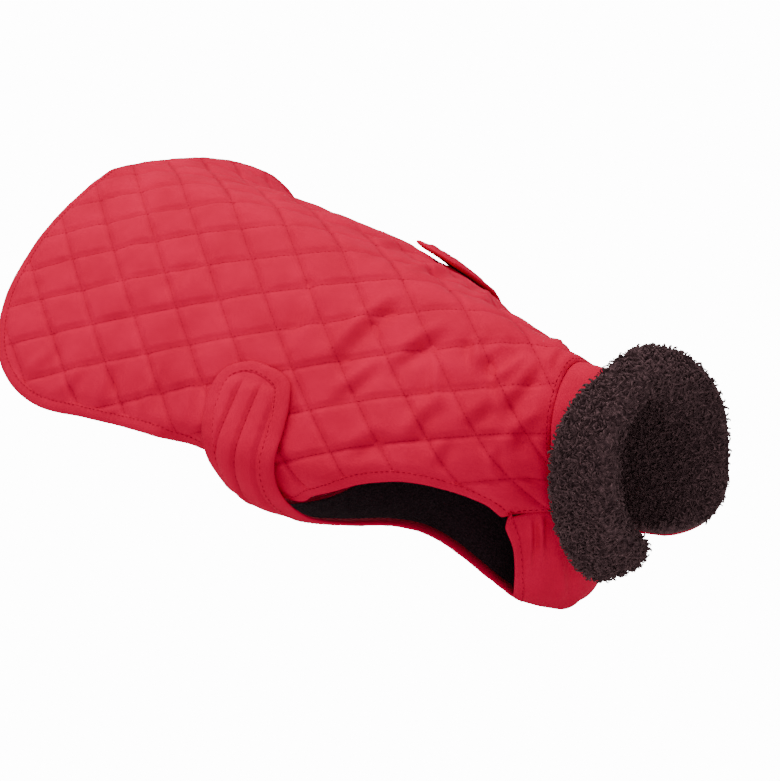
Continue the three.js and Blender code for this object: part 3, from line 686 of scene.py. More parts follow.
# back, down, to back, to down, width, height: creases of the quilted cloth
BACK_FOLDS = [
    (168, 96, 147, 12, 8, 3.4), (124, 78, 97, 20, 7, 3.0), (146, 118, 128, 70, 6, 2.0),
    (34, 66, 20, 4, 6, 2.4), (18, 86, 3, 42, 5, 2.2), (52, 92, 40, 50, 6, 1.8),
    (206, 30, 190, 100, 8, 2.2), (86, 118, 70, 74, 6, 2.0), (66, 40, 48, 8, 6, 1.8),
    (240, 183, 262, 150, 6, 1.5), (277, 198, 292, 158, 6, 1.6), (324, 210, 330, 170, 6, 1.7),
    (360, 220, 352, 184, 6, 1.5), (398, 214, 384, 178, 6, 1.3), (118, 150, 96, 116, 7, 2.0),
    (60, 128, 52, 98, 5, 1.5), (12, 116, 26, 92, 4, 1.6), (6, 26, 22, -12, 4, 1.7),
    (158, -22, 172, -96, 8, 3.0), (104, -30, 122, -88, 7, 2.6), (24, -14, 38, -72, 6, 2.2),
    (8, -60, 24, -100, 5, 2.0), (140, -120, 122, -70, 6, 2.0), (214, -40, 226, -104, 8, 2.0),
    (80, -120, 68, -78, 6, 1.8), (255, -196, 268, -158, 6, 1.6), (300, -206, 310, -166, 6, 1.6),
    (350, -216, 344, -176, 6, 1.6), (404, -208, 388, -170, 6, 1.4), (60, -128, 48, -94, 5, 1.6),
    (300, 60, 318, 116, 9, 1.2), (392, 40, 372, 96, 10, 1.1), (330, -40, 352, -110, 9, 1.2),
    (30, 12, 46, 46, 4, 2.2), (52, 26, 24, 54, 4, 2.0), (72, 12, 58, 46, 4.5, 2.0), (90, 48, 66, 88, 5, 2.0),
]


def diamonds(cut):
    """Both families of quilting lines: the phase across each."""
    along = (cut[:, 0] - DIAMOND_START) / DIAMOND_LONG
    across = cut[:, 1] / DIAMOND_WIDE
    return along + across, along - across


def hump(t):
    t = t - np.floor(t)
    return 4 * t * (1 - t)


LINE_SPACING = 1 / math.hypot(1 / DIAMOND_LONG, 1 / DIAMOND_WIDE)


def quilting(cut):
    """Raised diamonds with a furrow along the stitches and small puckers square to it."""
    a, b = diamonds(cut)
    cell = np.stack([np.floor(a), np.floor(b)], 1)
    loft = 1 + 0.16 * np.sin(cell[:, 0] * 12.9 + cell[:, 1] * 78.2)
    rise = PILLOW * loft * (hump(a) * hump(b))**0.36
    depth = np.zeros(len(cut))
    for phase, other, seed in ((a, b, 5), (b, a, 6)):
        away = np.abs(phase - np.round(phase)) * LINE_SPACING
        line = np.round(phase)
        run = np.stack([other * LINE_SPACING + line * 97.3, line * 13.7], 1)
        pucker = soft_noise(run, (4.6, 1), seed) + 0.5 * soft_noise(run, (2.6, 1), seed + 2)
        rise += PUCKER * pucker * np.exp(-((away - 2.5) / 4.5)**2)
        drawn = 0.75 + 0.5 * soft_noise(run, (26, 1), seed + 4)
        rise -= 0.7 * drawn * np.exp(-(away / 1.5)**2)
        depth = np.maximum(depth, np.exp(-(away / 1.1)**2))
    return rise, depth


def back_height(cut, far):
    rise, depth = quilting(cut)
    front = np.exp(-(np.maximum(cut[:, 0], 0) / 75)**2)
    rise = rise * (1 - 0.3 * front)
    fade = smoothstep(far, 0, 9)
    height = SHELL_OUTSIDE + rise * fade + 1.5 * fold_rise(BACK_FOLDS, cut) * smoothstep(far, 0, 14)
    height += (0.9 * soft_noise(cut, (30, 24), 21) + 0.45 * soft_noise(cut, 12, 22)) * fade
    height += front * 1.1 * soft_noise(cut, (20, 13), 23) * fade
    height += uneven_edge(BACK, cut, far)
    near_neck = np.exp(-(np.maximum(cut[:, 0], 0) / 14)**2) * smoothstep(far, 0, 5)
    height += 0.9 * near_neck * soft_noise(cut, (30, 6), 41)
    # the second value is how strongly painted shade darkens the cloth along the quilting stitches
    return height, 0.16 * depth * fade


def quilt_lattice():
    n = np.arange(-16 * QUILT_STEPS, 24 * QUILT_STEPS)
    i, j = (g.ravel() for g in np.meshgrid(n, n))
    steps = 2 * QUILT_STEPS
    lattice = np.stack([DIAMOND_START + DIAMOND_LONG * (i + j) / steps, DIAMOND_WIDE * (i - j) / steps], 1)
    low, high, across = BACK_SPAN
    kept = (lattice[:, 0] > low) & (lattice[:, 0] < high) & (np.abs(lattice[:, 1]) < across)
    return lattice[kept]


back_plain = flat_mesh(back_edge, grid(14, *BACK_SPAN), 7)
back_fleece = flat_mesh(back_edge, grid(4.2, *BACK_SPAN), 2)
quilted = flat_mesh(back_edge, quilt_lattice(), 1.5)
back_panel = shell("back_panel", BACK, quilted, back_plain, back_height)
back_lining = lining("back_lining", BACK, back_plain, back_fleece, 51)

# ---- chest and belly panel

CHANNEL_FIRST = 198
CHANNEL_WIDTH = 12.5
CHANNEL_COUNT = 3
CHANNEL_FROM = 168
CHANNEL_TO = 264
CHANNEL_RISE = 2.6

# ring, over, to ring, to over, width, height: creases of the plain cloth
CHEST_FOLDS = [
    (14, 94, 36, 50, 5, 2.3), (22, 100, 52, 74, 5, 2.5), (8, 76, 18, 28, 5, 2.0), (34, 106, 66, 88, 4, 1.8),
    (4, 58, 10, 12, 4, 1.4), (40, 62, 70, 40, 7, 1.8), (60, 20, 92, 34, 8, 1.4), (16, 34, 40, 6, 6, 1.5),
    (16, -92, 38, -54, 5, 2.2), (8, -70, 20, -32, 5, 1.8), (24, -102, 54, -76, 5, 2.3),
    (38, -60, 68, -38, 7, 1.7), (110, 52, 150, 24, 8, 1.3), (120, -50, 158, -20, 8, 1.3),
    (176, 60, 200, 104, 7, 1.5), (178, -66, 204, -108, 7, 1.5), (202, 150, 226, 176, 6, 1.1),
    (204, -152, 224, -178, 6, 1.1), (140, 10, 196, -8, 10, 1.2),
]


def channels(cut):
    """Sewn channels along the strap ends: rounded ribs, and how near their stitching is."""
    over = np.abs(cut[:, 1])
    across = (cut[:, 0] - CHANNEL_FIRST) / CHANNEL_WIDTH
    fade = smoothstep(over, CHANNEL_FROM - 6, CHANNEL_FROM + 4)
    fade *= 1 - smoothstep(over, CHANNEL_TO - 4, CHANNEL_TO + 6)
    fade *= smoothstep(across, -0.1, 0.05)
    fade *= 1 - smoothstep(across, CHANNEL_COUNT - 0.05, CHANNEL_COUNT + 0.1)
    away = np.abs(across - np.round(across)) * CHANNEL_WIDTH
    line = np.stack([over, np.round(across) * 31.0], 1)
    rise = CHANNEL_RISE * hump(across)**0.42 - 0.7 * np.exp(-(away / 1.1)**2)
    rise += 0.28 * soft_noise(line, (4, 1), 61) * np.exp(-((away - 2) / 3)**2)
    return rise * fade, np.exp(-(away / 1.0)**2) * fade


def belly_height(cut, far):
    rise, depth = channels(cut)
    fade = smoothstep(far, 0, 6)
    height = SHELL_OUTSIDE + rise * fade + 1.3 * fold_rise(CHEST_FOLDS, cut) * smoothstep(far, 0, 9)
    height += (0.4 * soft_noise(cut, 22, 71) + 0.14 * soft_noise(cut, 9, 72)) * fade
    height += uneven_edge(BELLY, cut, far)
    yoke = np.exp(-((cut[:, 0] - 8) / 26)**2) * smoothstep(np.abs(cut[:, 1]), 60, 100)
    yoke *= smoothstep(far, 0, 4)
    height += 0.8 * yoke * soft_noise(cut, (6, 26), 73)
    # the second value is how strongly painted shade darkens the cloth along the channel stitching
    return height, 0.2 * depth * fade


def belly_lattice():
    """An even lattice, but rows along the channels where the straps are channelled."""
    even = grid(2.5, *BELLY_SPAN)
    over = np.abs(even[:, 1])
    strap = (even[:, 0] > 192) & (even[:, 0] < 242) & (over > CHANNEL_FROM - 10) & (over < CHANNEL_TO + 12)
    rows = CHANNEL_FIRST + CHANNEL_WIDTH * np.arange(-3, 28) / 8
    steps = np.arange(CHANNEL_FROM - 9, CHANNEL_TO + 12, 2.4)
    across, along = (g.ravel() for g in np.meshgrid(rows, steps))
    return np.concatenate([even[~strap], np.stack([across, along], 1), np.stack([across, -along], 1)])


belly_plain = flat_mesh(belly_edge, grid(12, *BELLY_SPAN), 6)
belly_fleece = flat_mesh(belly_edge, grid(3.4, *BELLY_SPAN), 1.8)
channelled = flat_mesh(belly_edge, belly_lattice(), 1.1)
chest_belly_panel = shell("chest_belly_panel", BELLY, channelled, belly_plain, belly_height)
chest_belly_lining = lining("chest_belly_lining", BELLY, belly_plain, belly_fleece, 55)

# ---- bindings

BINDING_WIDTH = 6.5
BINDING_LAP = 3.4
TAPE_WALL = 0.55

# out, rise: the tape's section from its inner face on the lining, round the edge, to the shell
TAPE_SECTION = [
    (-BINDING_LAP, LINING_INSIDE - 0.15), (-BINDING_LAP, LINING_INSIDE - TAPE_WALL),
    (1.5, LINING_INSIDE - 0.5), (BINDING_WIDTH - 2.4, LINING_INSIDE - 0.1),
    (BINDING_WIDTH - 0.6, LINING_INSIDE + 0.9), (BINDING_WIDTH, -0.15),
    (BINDING_WIDTH - 0.6, SHELL_OUTSIDE - 0.9), (BINDING_WIDTH - 2.4, SHELL_OUTSIDE + 0.1),
    (1.5, SHELL_OUTSIDE + 0.45), (-BINDING_LAP + 1.4, SHELL_OUTSIDE + 0.42),
    (-BINDING_LAP + 0.3, SHELL_OUTSIDE + 0.34), (-BINDING_LAP, SHELL_OUTSIDE + 0.02),
]


def bind(name, panel, line, side):
    """Tape folded over an edge of the cut, with small puckers where the stitches draw it in."""
    before, after = np.roll(line, 1, 0), np.roll(line, -1, 0)
    before[0], after[-1] = line[0], line[-1]
    way = after - before
    out = np.stack([way[:, 1], -way[:, 0]], 1)
    out = side * out / np.linalg.norm(out, axis=1, keepdims=True)
    run = np.concatenate([[0], np.cumsum(np.linalg.norm(np.diff(line, axis=0), axis=1))])
    pull = np.stack([run, np.zeros(len(run))], 1)
    seed = panel.seed
    points, cuts = [], []
    for k, (far, rise) in enumerate(TAPE_SECTION):
        pucker = 0.26 * soft_noise(pull, (5.2, 1), seed) + 0.14 * soft_noise(pull, (2.9, 1), seed + 1)
        width = far + (0.35 * soft_noise(pull, (24, 1), seed + 2) if far > 2 else 0)
        amount = 1.0 if 0 < far < BINDING_WIDTH - 1 else 0.45
        lift = rise + edge_ripple(line, seed) + amount * pucker * (1 if rise > 0 else -1)
        at = line + out * np.reshape(width, (-1, 1))
        points.append(panel.place(at, lift))
        cuts.append(np.stack([run, np.full(len(run), k * 2.0)], 1))
    sides, count = len(TAPE_SECTION), len(line)
    points = np.stack(points, 1).reshape(-1, 3)
    cuts = np.stack(cuts, 1).reshape(-1, 2)
    faces = []
    for i in range(count - 1):
        for k in range(sides):
            a, b = i * sides + k, i * sides + (k + 1) % sides
            faces.append((a, b, b + sides, a + sides))
    faces.append(tuple(range(sides - 1, -1, -1)))
    faces.append(tuple((count - 1) * sides + k for k in range(sides)))
    return make_piece(name, points, faces, cuts, red_tape)


back_hem = even_steps(np.concatenate([mirrored(back_right)[:-1], back_right]), 1.7)
back_binding = bind("back_binding", BACK, back_hem, 1)
belly_hem = even_steps(np.concatenate([belly_right[:-1], mirrored(belly_right)]), 1.7)
belly_binding = bind("belly_binding", BELLY, belly_hem, -1)

# ---- collar

NECK_HALF = float(ring_length(0, 1))
COLLAR_TURNS = 44


def collar_axes(down, width):
    """Where the collar's form runs at each point, and the way out of it."""
    place = down / NECK_HALF
    stand, lean, fold, radius = (column(COLLAR, n, place) for n in (1, 2, 3, 4))
    lean, fold = np.radians(lean), np.radians(fold)
    fold_length = np.maximum(fold * radius, FOLD_LEAST)
    base = form(np.zeros(len(down)), down)
    radial = neck_radial(down)
    angle = lean
    for n in range(COLLAR_TURNS):
        w = width * (n + 0.5) / COLLAR_TURNS
        angle = lean + fold * smoothstep(w - stand, 0, fold_length)
        step = (width / COLLAR_TURNS)[:, None]
        base = base + COLLAR_AXIS * np.cos(angle)[:, None] * step + radial * np.sin(angle)[:, None] * step
    out = radial * np.cos(angle)[:, None] - COLLAR_AXIS * np.sin(angle)[:, None]
    seam = np.clip(1 - (width - NECK_MARGIN) / 4, 0, 1)[:, None]
    return base, out * (1 - seam) + neck_mitre(down) * seam


def collar_width(down):
    """The band's width, less what its rounded corners take off near its ends."""
    corner = np.where(down < 0, COLLAR_CORNER_LEFT, COLLAR_CORNER_RIGHT)
    gap = np.where(down < 0, COLLAR_LEFT_GAP, COLLAR_RIGHT_GAP)
    to_end = np.minimum(NECK_HALF - gap - np.abs(down), corner)
    return COLLAR_WIDTH - corner + np.sqrt(np.maximum(corner**2 - (corner - to_end)**2, 0))


def collar_layer(around, across, near, far, shape_far):
    """A closed layer of the collar between the heights near and far off its form."""
    down = np.linspace(COLLAR_LEFT_GAP - NECK_HALF, NECK_HALF - COLLAR_RIGHT_GAP, around + 1)
    even = np.linspace(0, 1, across + 1)
    share = 0.75 * even + 0.25 * (0.5 - 0.5 * np.cos(np.pi * even))
    grid_down = np.repeat(down, across + 1)
    grid_width = (NECK_MARGIN + (collar_width(down) - NECK_MARGIN)[:, None] * share).ravel()
    base, out = collar_axes(grid_down, grid_width)
    cut = np.stack([grid_down, grid_width], 1)
    room = np.minimum.reduce([
        grid_width - NECK_MARGIN, collar_width(grid_down) - grid_width,
        grid_down - down[0], down[-1] - grid_down,
    ])
    layers = [base + out * shape_far(cut, room, far)[:, None], base + out * near]
    shift = len(cut)
    i, j = np.meshgrid(np.arange(around), np.arange(across), indexing="ij")
    a = (i * (across + 1) + j).ravel()
    quads = np.stack([a, a + across + 1, a + across + 2, a + 1], 1)
    faces = [quads, quads[:, ::-1] + shift]
    loop = np.concatenate([
        np.arange(across + 1), np.arange(1, around + 1) * (across + 1) + across,
        around * (across + 1) + np.arange(across - 1, -1, -1), np.arange(around - 1, 0, -1) * (across + 1),
    ])
    after = np.roll(loop, -1)
    faces.append(np.stack([after, loop, loop + shift, after + shift], 1)[:, ::-1])
    return np.concatenate(layers), np.concatenate(faces), np.concatenate([cut, cut])


def band_height(cut, room, height):
    ease = 0.5 * soft_noise(cut, (20, 34), 91) + 0.22 * soft_noise(cut, (9, 14), 92)
    return height + ease * smoothstep(room, 0, 6)


def pile_height(cut, room, height):
    """The tips of the pile: clumps a few millimetres across, and rounded edges."""
    clumps = 1.15 * soft_noise(cut, 5.2, 93) + 0.7 * soft_noise(cut, 2.9, 94)
    clumps += 0.7 * soft_noise(cut, 16, 95)
    rounded = np.sqrt(np.clip(1 - (1 - np.clip(room / 6.5, 0, 1))**2, 0.02, 1))
    inner = -SEAM_GAP / 2
    return inner + (height - inner + 1.7 + clumps * rounded) * (0.25 + 0.75 * rounded)


PILE_FAR = -SEAM_GAP / 2 - PILE_WALL
band = collar_layer(150, 34, SEAM_GAP / 2, SEAM_GAP / 2 + COLLAR_WALL, band_height)
collar_band = make_piece("collar_band", *band, red_cloth)
pile = collar_layer(250, 58, -SEAM_GAP / 2, PILE_FAR, pile_height)
collar_pile = make_piece("collar_pile", *pile, brown_pile)

# ---- stitches


def scatter_tree(name, shape, material):
    """Copies of a small shape on points, laid along one direction and turned up to another."""
    tree = bpy.data.node_groups.new(name, "GeometryNodeTree")
    face, nodes, links = tree.interface, tree.nodes, tree.links
    face.new_socket("Points", in_out="INPUT", socket_type="NodeSocketGeometry")
    sizes = {}
    for label in ("Length", "Width", "Height"):
        sizes[label] = face.new_socket(label, in_out="INPUT", socket_type="NodeSocketFloat").identifier
    face.new_socket("Copies", in_out="OUTPUT", socket_type="NodeSocketGeometry")

    def node(kind, **wires):
        made = nodes.new(kind)
        for label, wire in wires.items():
            links.new(wire, made.inputs[label])
        return made

    def attribute(label, kind):
        made = nodes.new("GeometryNodeInputNamedAttribute")
        made.data_type = kind
        made.inputs["Name"].default_value = label
        return made.outputs["Attribute"]

    start = nodes.new("NodeGroupInput")
    upward = node("FunctionNodeAlignRotationToVector", Vector=attribute("out", "FLOAT_VECTOR"))
    upward.axis = "Z"
    onward = node(
        "FunctionNodeAlignRotationToVector",
        Rotation=upward.outputs["Rotation"], Vector=attribute("along", "FLOAT_VECTOR"),
    )
    onward.axis, onward.pivot_axis = "X", "Z"
    length, width, height = (start.outputs[label] for label in sizes)
    size = node("ShaderNodeCombineXYZ", X=length, Y=width, Z=height)
    scale = nodes.new("ShaderNodeVectorMath")
    scale.operation = "SCALE"
    links.new(size.outputs["Vector"], scale.inputs[0])
    links.new(attribute("grow", "FLOAT"), scale.inputs["Scale"])
    info = nodes.new("GeometryNodeObjectInfo")
    info.inputs["Object"].default_value = shape
    copies = node(
        "GeometryNodeInstanceOnPoints", Points=start.outputs["Points"], Instance=info.outputs["Geometry"],
        Rotation=onward.outputs["Rotation"], Scale=scale.outputs["Vector"],
    )
    real = node("GeometryNodeRealizeInstances", Geometry=copies.outputs["Instances"])
    finish = node("GeometryNodeSetMaterial", Geometry=real.outputs["Geometry"])
    finish.inputs["Material"].default_value = material
    node("NodeGroupOutput", Copies=finish.outputs["Geometry"])
    return tree, sizes


def scatter(name, shape, material, at, along, out, grow, length, width, height):
    """One plain mesh of copies of a shape, on points in millimetres, at a size in millimetres."""
    mesh = bpy.data.meshes.new(name + "_points")
    mesh.from_pydata((at / 1000).tolist(), [], [])
    for label, values in (("along", along), ("out", out)):
        mesh.attributes.new(label, "FLOAT_VECTOR", "POINT").data.foreach_set(
            "vector", values.astype(np.float32).ravel())
    mesh.attributes.new("grow", "FLOAT", "POINT").data.foreach_set("value", grow.astype(np.float32))
    holder = bpy.data.objects.new(name + "_points", mesh)
    bpy.context.scene.collection.objects.link(holder)
    tree, sizes = scatter_tree(name + "_tree", shape, material)
    modifier = holder.modifiers.new("copies", "NODES")
    modifier.node_group = tree
    for label, value in (("Length", length), ("Width", width), ("Height", height)):
        modifier[sizes[label]] = value / 1000
    ready = holder.evaluated_get(bpy.context.evaluated_depsgraph_get())
    made = bpy.data.meshes.new_from_object(ready)
    bpy.data.objects.remove(holder)
    bpy.data.node_groups.remove(tree)
    made.name = name
    made.materials.clear()
    made.materials.append(material)
    made.polygons.foreach_set("material_index", np.zeros(len(made.polygons), np.int32))
    made.shade_smooth()
    piece = bpy.data.objects.new(name, made)
    bpy.context.scene.collection.objects.link(piece)
    return piece


def small_shape(name, points, faces):
    mesh = bpy.data.meshes.new(name)
    mesh.from_pydata(points, [], faces)
    shape = bpy.data.objects.new(name, mesh)
    bpy.context.scene.collection.objects.link(shape)
    return shape


def tube_faces(first, rings, sides):
    """Faces between rings of points, numbered from first."""
    faces = []
    for r in range(rings - 1):
        for k in range(sides):
            a, b = first + r * sides + k, first + r * sides + (k + 1) % sides
            faces.append((a, b, b + sides, a + sides))
    return faces


def stitch_shape():
    """A plump stitch one long, one wide and one high, with both ends dipping into the cloth."""
    sides, end, tip = 6, 0.5, -0.55
    points = [(-end, 0, tip)]
    for x, radius, z in ((-0.36, 0.36, -0.1), (0, 0.5, 0.1), (0.36, 0.36, -0.1)):
        for k in range(sides):
            turn = 2 * math.pi * k / sides
            points.append((x, radius * math.cos(turn), z + radius * math.sin(turn)))
    points.append((end, 0, tip))
    faces = tube_faces(1, 3, sides)
    for k in range(sides):
        n = (k + 1) % sides
        faces += [(0, 1 + n, 1 + k), (1 + 2 * sides + k, 1 + 2 * sides + n, 1 + 3 * sides)]
    return small_shape("stitch", points, faces)


STITCH = stitch_shape()


def seam_points(line, place, height, pitch, seed):
    """Where the stitches of a seam go: middles, ways along and out, from a line on the cut."""
    chance = np.random.default_rng(seed)
    run = np.concatenate([[0], np.cumsum(np.linalg.norm(np.diff(line, axis=0), axis=1))])
    count = max(int(run[-1] / pitch), 1)
    middle = (np.arange(count) + 0.5) * run[-1] / count
    middle = middle + chance.normal(0, 0.05 * pitch, count)
    side = chance.normal(0, 0.12, count)
    def at(s):
        return np.stack([np.interp(s, run, line[:, k]) for k in range(2)], 1)
    here, ahead, behind = at(middle), at(middle + 0.8), at(middle - 0.8)
    way = unit(ahead - behind)
    shift = np.stack([-way[:, 1], way[:, 0]], 1) * side[:, None]
    lift = height(here)
    p = place(here + shift, lift)
    along = place(ahead, lift) - place(behind, lift)
    across = np.stack([way[:, 1], -way[:, 0]], 1)
    over = place(here + across, lift) - place(here - across, lift)
    out = unit(np.cross(over, along))
    outward = place(here, lift + 1) - place(here, lift)
    out = np.where((out * outward).sum(1)[:, None] < 0, -out, out)
    return p, unit(along), out


def sewn(name, seams, length, width, seed, thread=red_thread):
    """All of a piece's stitches as one mesh."""
    at, along, out = (np.concatenate(parts) for parts in zip(*seams))
    grow = np.random.default_rng(seed).normal(1, 0.05, len(at))
    return scatter(name, STITCH, thread, at, along, out, grow, length, width, width * 0.8)


STITCH_LIFT = 0.16


def quilt_height(cut):
    return back_height(cut, far_in(BACK, cut))[0] + STITCH_LIFT


def chest_height(cut):
    return belly_height(cut, far_in(BELLY, cut))[0] + STITCH_LIFT


def quilt_lines():
    """The straight runs of quilting that lie inside the back panel, in both directions."""
    runs = []
    inner = DIAMOND_START % DIAMOND_LONG - 2 * DIAMOND_LONG
    for n in range(-6, 16):
        for lean in (1, -1):
            start = inner + n * DIAMOND_LONG
            down = np.arange(-230, 230, 1.0)
            line = np.stack([start - lean * down * DIAMOND_LONG / DIAMOND_WIDE, down], 1)
            far, within = edge_distance(back_edge, line)
            good = within & (far > 3.2)
            edges = np.flatnonzero(np.diff(np.concatenate([[0], good.astype(int), [0]])))
            for a, b in zip(edges[::2], edges[1::2]):
                if b - a > 4:
                    runs.append(line[a:b])
    return runs


def offset_line(line, inset, side):
    way = np.gradient(line, axis=0)
    out = unit(np.stack([way[:, 1], -way[:, 0]], 1)) * side
    return line - out * inset


quilt_seams = [
    seam_points(run, on_back, quilt_height, 3.4, 300 + n) for n, run in enumerate(quilt_lines())
]
quilt_stitches = sewn("quilt_stitches", quilt_seams, 2.5, 0.56, 201, quilt_thread)


def tape_height(panel, top):
    level = SHELL_OUTSIDE + 0.52 if top else LINING_INSIDE - 0.7
    return lambda cut: level + edge_ripple(cut, panel.seed)


TAPE_STITCH = 1.9
binding_seams = []
for n, (panel, hem, side) in enumerate(((BACK, back_hem, 1), (BELLY, belly_hem, -1))):
    inside = offset_line(hem, TAPE_STITCH, side)
    binding_seams.append([
        seam_points(inside, panel.place, tape_height(panel, top), 3.9, 400 + 2 * n + top)
        for top in (True, False)
    ])
back_binding_stitches = sewn("back_binding_stitches", binding_seams[0], 2.9, 0.68, 202)
belly_binding_stitches = sewn("belly_binding_stitches", binding_seams[1], 2.9, 0.68, 203)

chest_seams = []
for k in range(1, CHANNEL_COUNT):
    over = np.arange(CHANNEL_FROM, CHANNEL_TO, 1.5)
    for side in (1, -1):
        line = np.stack([np.full(len(over), CHANNEL_FIRST + k * CHANNEL_WIDTH), side * over], 1)
        far, within = edge_distance(belly_edge, line)
        line = line[within & (far > 4.5)]
        if len(line) > 8:
            chest_seams.append(seam_points(line, on_belly, chest_height, 3.4, 500 + 2 * k + side))
over = np.linspace(-throat_over + 4, throat_over - 4, 60)
throat_line = np.stack([np.full(len(over), NECK_MARGIN + 3.2), over], 1)
chest_seams.append(seam_points(throat_line, on_belly, chest_height, 3.9, 520))
chest_stitches = sewn("chest_stitches", chest_seams, 2.7, 0.64, 204)

yoke_seams = []
for n, side in enumerate((1, -1)):
    line = offset_line(yoke_line, 2.6, 1)[1:-2] * np.array([1, side])
    yoke_seams.append(seam_points(line, on_back, quilt_height, 3.9, 600 + n))
neck_down = np.linspace(YOKE_AT_NECK - 4, 4 - YOKE_AT_NECK, 120)
yoke_seams.append(seam_points(neck_cut(neck_down) + np.array([3.2, 0]), on_back, quilt_height, 3.9, 610))
yoke_stitches = sewn("yoke_stitches", yoke_seams, 2.9, 0.66, 205)

# ---- curls of the pile


def curl_shape():
    """One lock of the pile, in millimetres: a tapered hook that stands and falls over."""
    spine = [(0.0, -1.3, 0.62), (0.1, 0.1, 0.66), (0.45, 1.15, 0.55), (1.25, 1.75, 0.4), (2.1, 1.35, 0.07)]
    sides, points = 4, []
    for n, (x, z, radius) in enumerate(spine):
        before, after = spine[max(n - 1, 0)], spine[min(n + 1, len(spine) - 1)]
        way = np.array([after[0] - before[0], after[1] - before[1]])
        way /= np.linalg.norm(way)
        for k in range(sides):
            turn = 2 * math.pi * (k + 0.5) / sides
            off = radius * math.cos(turn)
            points.append((x - way[1] * off, radius * math.sin(turn), z + way[0] * off))
    ends = [tuple(range(sides - 1, -1, -1)), tuple((len(spine) - 1) * sides + k for k in range(sides))]
    return small_shape("curl", points, tube_faces(0, len(spine), sides) + ends)


CURL = curl_shape()


def pile_surface(down, width):
    """Points on the pile's face, its way out and how far each is from the collar's edges."""
    cut = np.stack([down, width], 1)
    room = np.minimum.reduce([
        width - NECK_MARGIN, collar_width(down) - width,
        down - (COLLAR_LEFT_GAP - NECK_HALF), NECK_HALF - COLLAR_RIGHT_GAP - down,
    ])
    base, out = collar_axes(down, width)
    return base + out * pile_height(cut, room, PILE_FAR)[:, None], out, room


def curls(name, step, seed):
    chance = np.random.default_rng(seed)
    down, width = np.meshgrid(
        np.arange(COLLAR_LEFT_GAP - NECK_HALF, NECK_HALF - COLLAR_RIGHT_GAP, step),
        np.arange(NECK_MARGIN, COLLAR_WIDTH, step),
    )
    down = down.ravel() + chance.uniform(-0.5, 0.5, down.size) * step
    width = width.ravel() + chance.uniform(-0.5, 0.5, width.size) * step
    kept = (down > COLLAR_LEFT_GAP - NECK_HALF + 0.5) & (down < NECK_HALF - COLLAR_RIGHT_GAP - 0.5)
    down, width = down[kept], width[kept]
    kept = (width > NECK_MARGIN + 1.5) & (width < collar_width(down) - 0.5)
    down, width = down[kept], width[kept]
    at, out, room = pile_surface(down, width)
    ahead = pile_surface(down + 0.6, width)[0] - pile_surface(down - 0.6, width)[0]
    above = pile_surface(down, width + 0.4)[0] - pile_surface(down, width - 0.4)[0]
    normal = unit(np.cross(ahead, above))
    normal = np.where((normal * out).sum(1)[:, None] > 0, -normal, normal)
    swirl = 2.2 * np.pi * soft_noise(np.stack([down, width], 1), 9, seed + 1)
    swirl = (swirl + chance.normal(0, 0.9, len(down)))[:, None]
    ahead = unit(ahead)
    along = unit(ahead * np.cos(swirl) + np.cross(normal, ahead) * np.sin(swirl))
    lean = chance.normal(0, 0.32, (len(down), 3)) + 0.25 * along
    rim = 1 - smoothstep(collar_width(down) - width, 0, 5)
    lean += unit(above) * (0.8 * rim)[:, None]
    grow = chance.uniform(0.7, 1.25, len(down)) * (0.85 + 0.15 * smoothstep(room, 0, 5))
    return scatter(name, CURL, brown_pile, at, along, unit(normal + lean), grow, 1.6, 1.35, 1.6)


collar_curls = [curls("collar_curls_%d" % n, 2.5, 700 + 10 * n) for n in (1, 2)]
bpy.data.objects.remove(CURL)
bpy.data.objects.remove(STITCH)

# ---- floor, light and camera

AZIMUTH, ELEVATION = math.radians(37.1), math.radians(35.7)
CAMERA_AT = (0.452, -0.660, 0.489)
LENS = 55.8
FLOOR_Z = -0.262


def white_ground():
    """White paper, lit so that the picture shows it plain white while the coat sees it as paper."""
    material, nodes, links, paper = node_tree("white_ground")
    paper.inputs["Base Color"].default_value = (0.85, 0.85, 0.85, 1)
    paper.inputs["Roughness"].default_value = 0.95
    glow = nodes.new("ShaderNodeEmission")
    glow.inputs["Strength"].default_value = 14
    path = nodes.new("ShaderNodeLightPath")
    mix = nodes.new("ShaderNodeMixShader")
    links.new(path.outputs["Is Camera Ray"], mix.inputs["Fac"])
    links.new(paper.outputs["BSDF"], mix.inputs[1])
    links.new(glow.outputs["Emission"], mix.inputs[2])
    links.new(mix.outputs["Shader"], nodes["Material Output"].inputs["Surface"])
    return material


def floor():
    mesh = bpy.data.meshes.new("floor")
    corners = [(x, y, FLOOR_Z) for x, y in ((-6, -6), (6, -6), (6, 6), (-6, 6))]
    mesh.from_pydata(corners, [], [(0, 1, 2, 3)])
    piece = bpy.data.objects.new("floor", mesh)
    bpy.context.scene.collection.objects.link(piece)
    mesh.materials.append(white_ground())


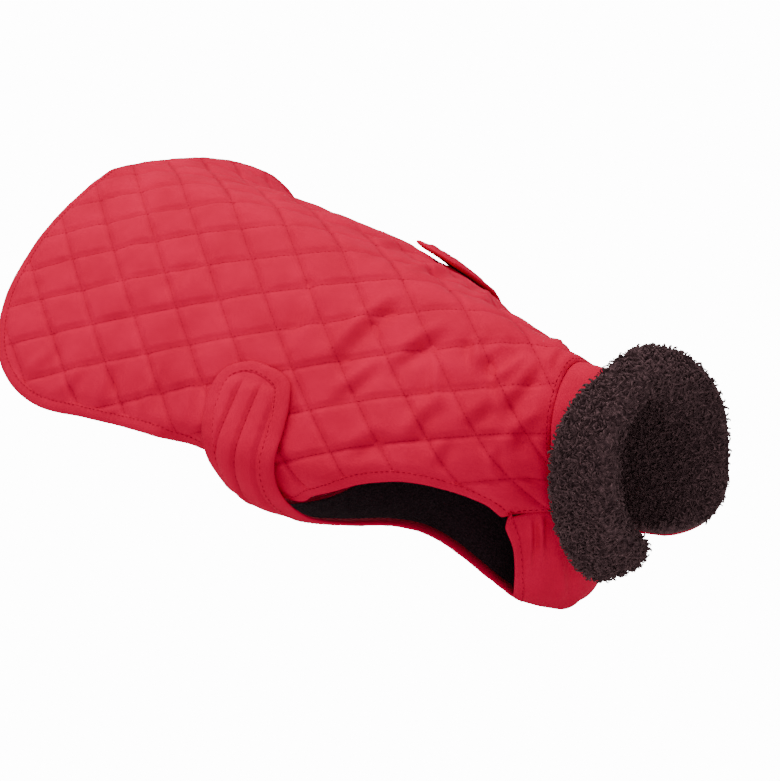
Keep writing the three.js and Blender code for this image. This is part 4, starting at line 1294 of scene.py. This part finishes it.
def lamp(name, place, towards, size, watts):
    data = bpy.data.lights.new(name, "AREA")
    data.shape = "DISK"
    data.size = size
    data.energy = watts
    light = bpy.data.objects.new(name, data)
    light.location = place
    light.rotation_mode = "QUATERNION"
    light.rotation_quaternion = (Vector(towards) - Vector(place)).to_track_quat("-Z", "Y")
    bpy.context.scene.collection.objects.link(light)


floor()
world = bpy.data.worlds.new("studio")
world.use_nodes = True
world.node_tree.nodes["Background"].inputs["Color"].default_value = (1, 1, 1, 1)
world.node_tree.nodes["Background"].inputs["Strength"].default_value = 0.5
bpy.context.scene.world = world
lamp("key", (-0.5, 0.5, 1.7), (-0.1, 0, -0.05), 0.9, 34)
lamp("side", (-1.3, -1.2, 0.9), (-0.1, 0, -0.1), 0.8, 11)
lamp("front", (1.1, -1.1, 0.8), (0.05, 0, -0.1), 0.9, 7)

camera_data = bpy.data.cameras.new("camera")
camera_data.lens = LENS
camera_data.sensor_width = 36
camera_data.clip_start = 0.05
camera_data.clip_end = 30
camera = bpy.data.objects.new("camera", camera_data)
bpy.context.scene.collection.objects.link(camera)
look_back = Vector((
    math.sin(AZIMUTH) * math.cos(ELEVATION), -math.cos(AZIMUTH) * math.cos(ELEVATION), math.sin(ELEVATION),
))
right = Vector((math.cos(AZIMUTH), math.sin(AZIMUTH), 0))
turned = Matrix((right, look_back.cross(right), look_back)).transposed().to_4x4()
camera.matrix_world = Matrix.Translation(CAMERA_AT) @ turned
bpy.context.scene.camera = camera

# ---- the pieces, put under one body in place of the model's parts, which are hidden

RED, FLEECE, TAPE, PILE = "red_cloth", "dark_fleece", "red_binding", "brown_pile"
SEWING = {
    "back_panel": [quilt_stitches, yoke_stitches], "chest_belly_panel": [chest_stitches],
    "back_binding": [back_binding_stitches], "belly_binding": [belly_binding_stitches],
    "collar_pile": collar_curls,
}
for node, piece, finish in (
    ("back_panel", back_panel, RED), ("back_lining", back_lining, FLEECE),
    ("chest_belly_panel", chest_belly_panel, RED), ("chest_belly_lining", chest_belly_lining, FLEECE),
    ("back_binding", back_binding, TAPE), ("belly_binding", belly_binding, TAPE),
    ("collar_band", collar_band, RED), ("collar_pile", collar_pile, PILE),
):
    for part in [piece, *SEWING.get(node, [])]:
        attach(part, "root")
        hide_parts(node)


def span(outline):
    return tuple((outline.max(0) - outline.min(0))[::-1] / 1000)
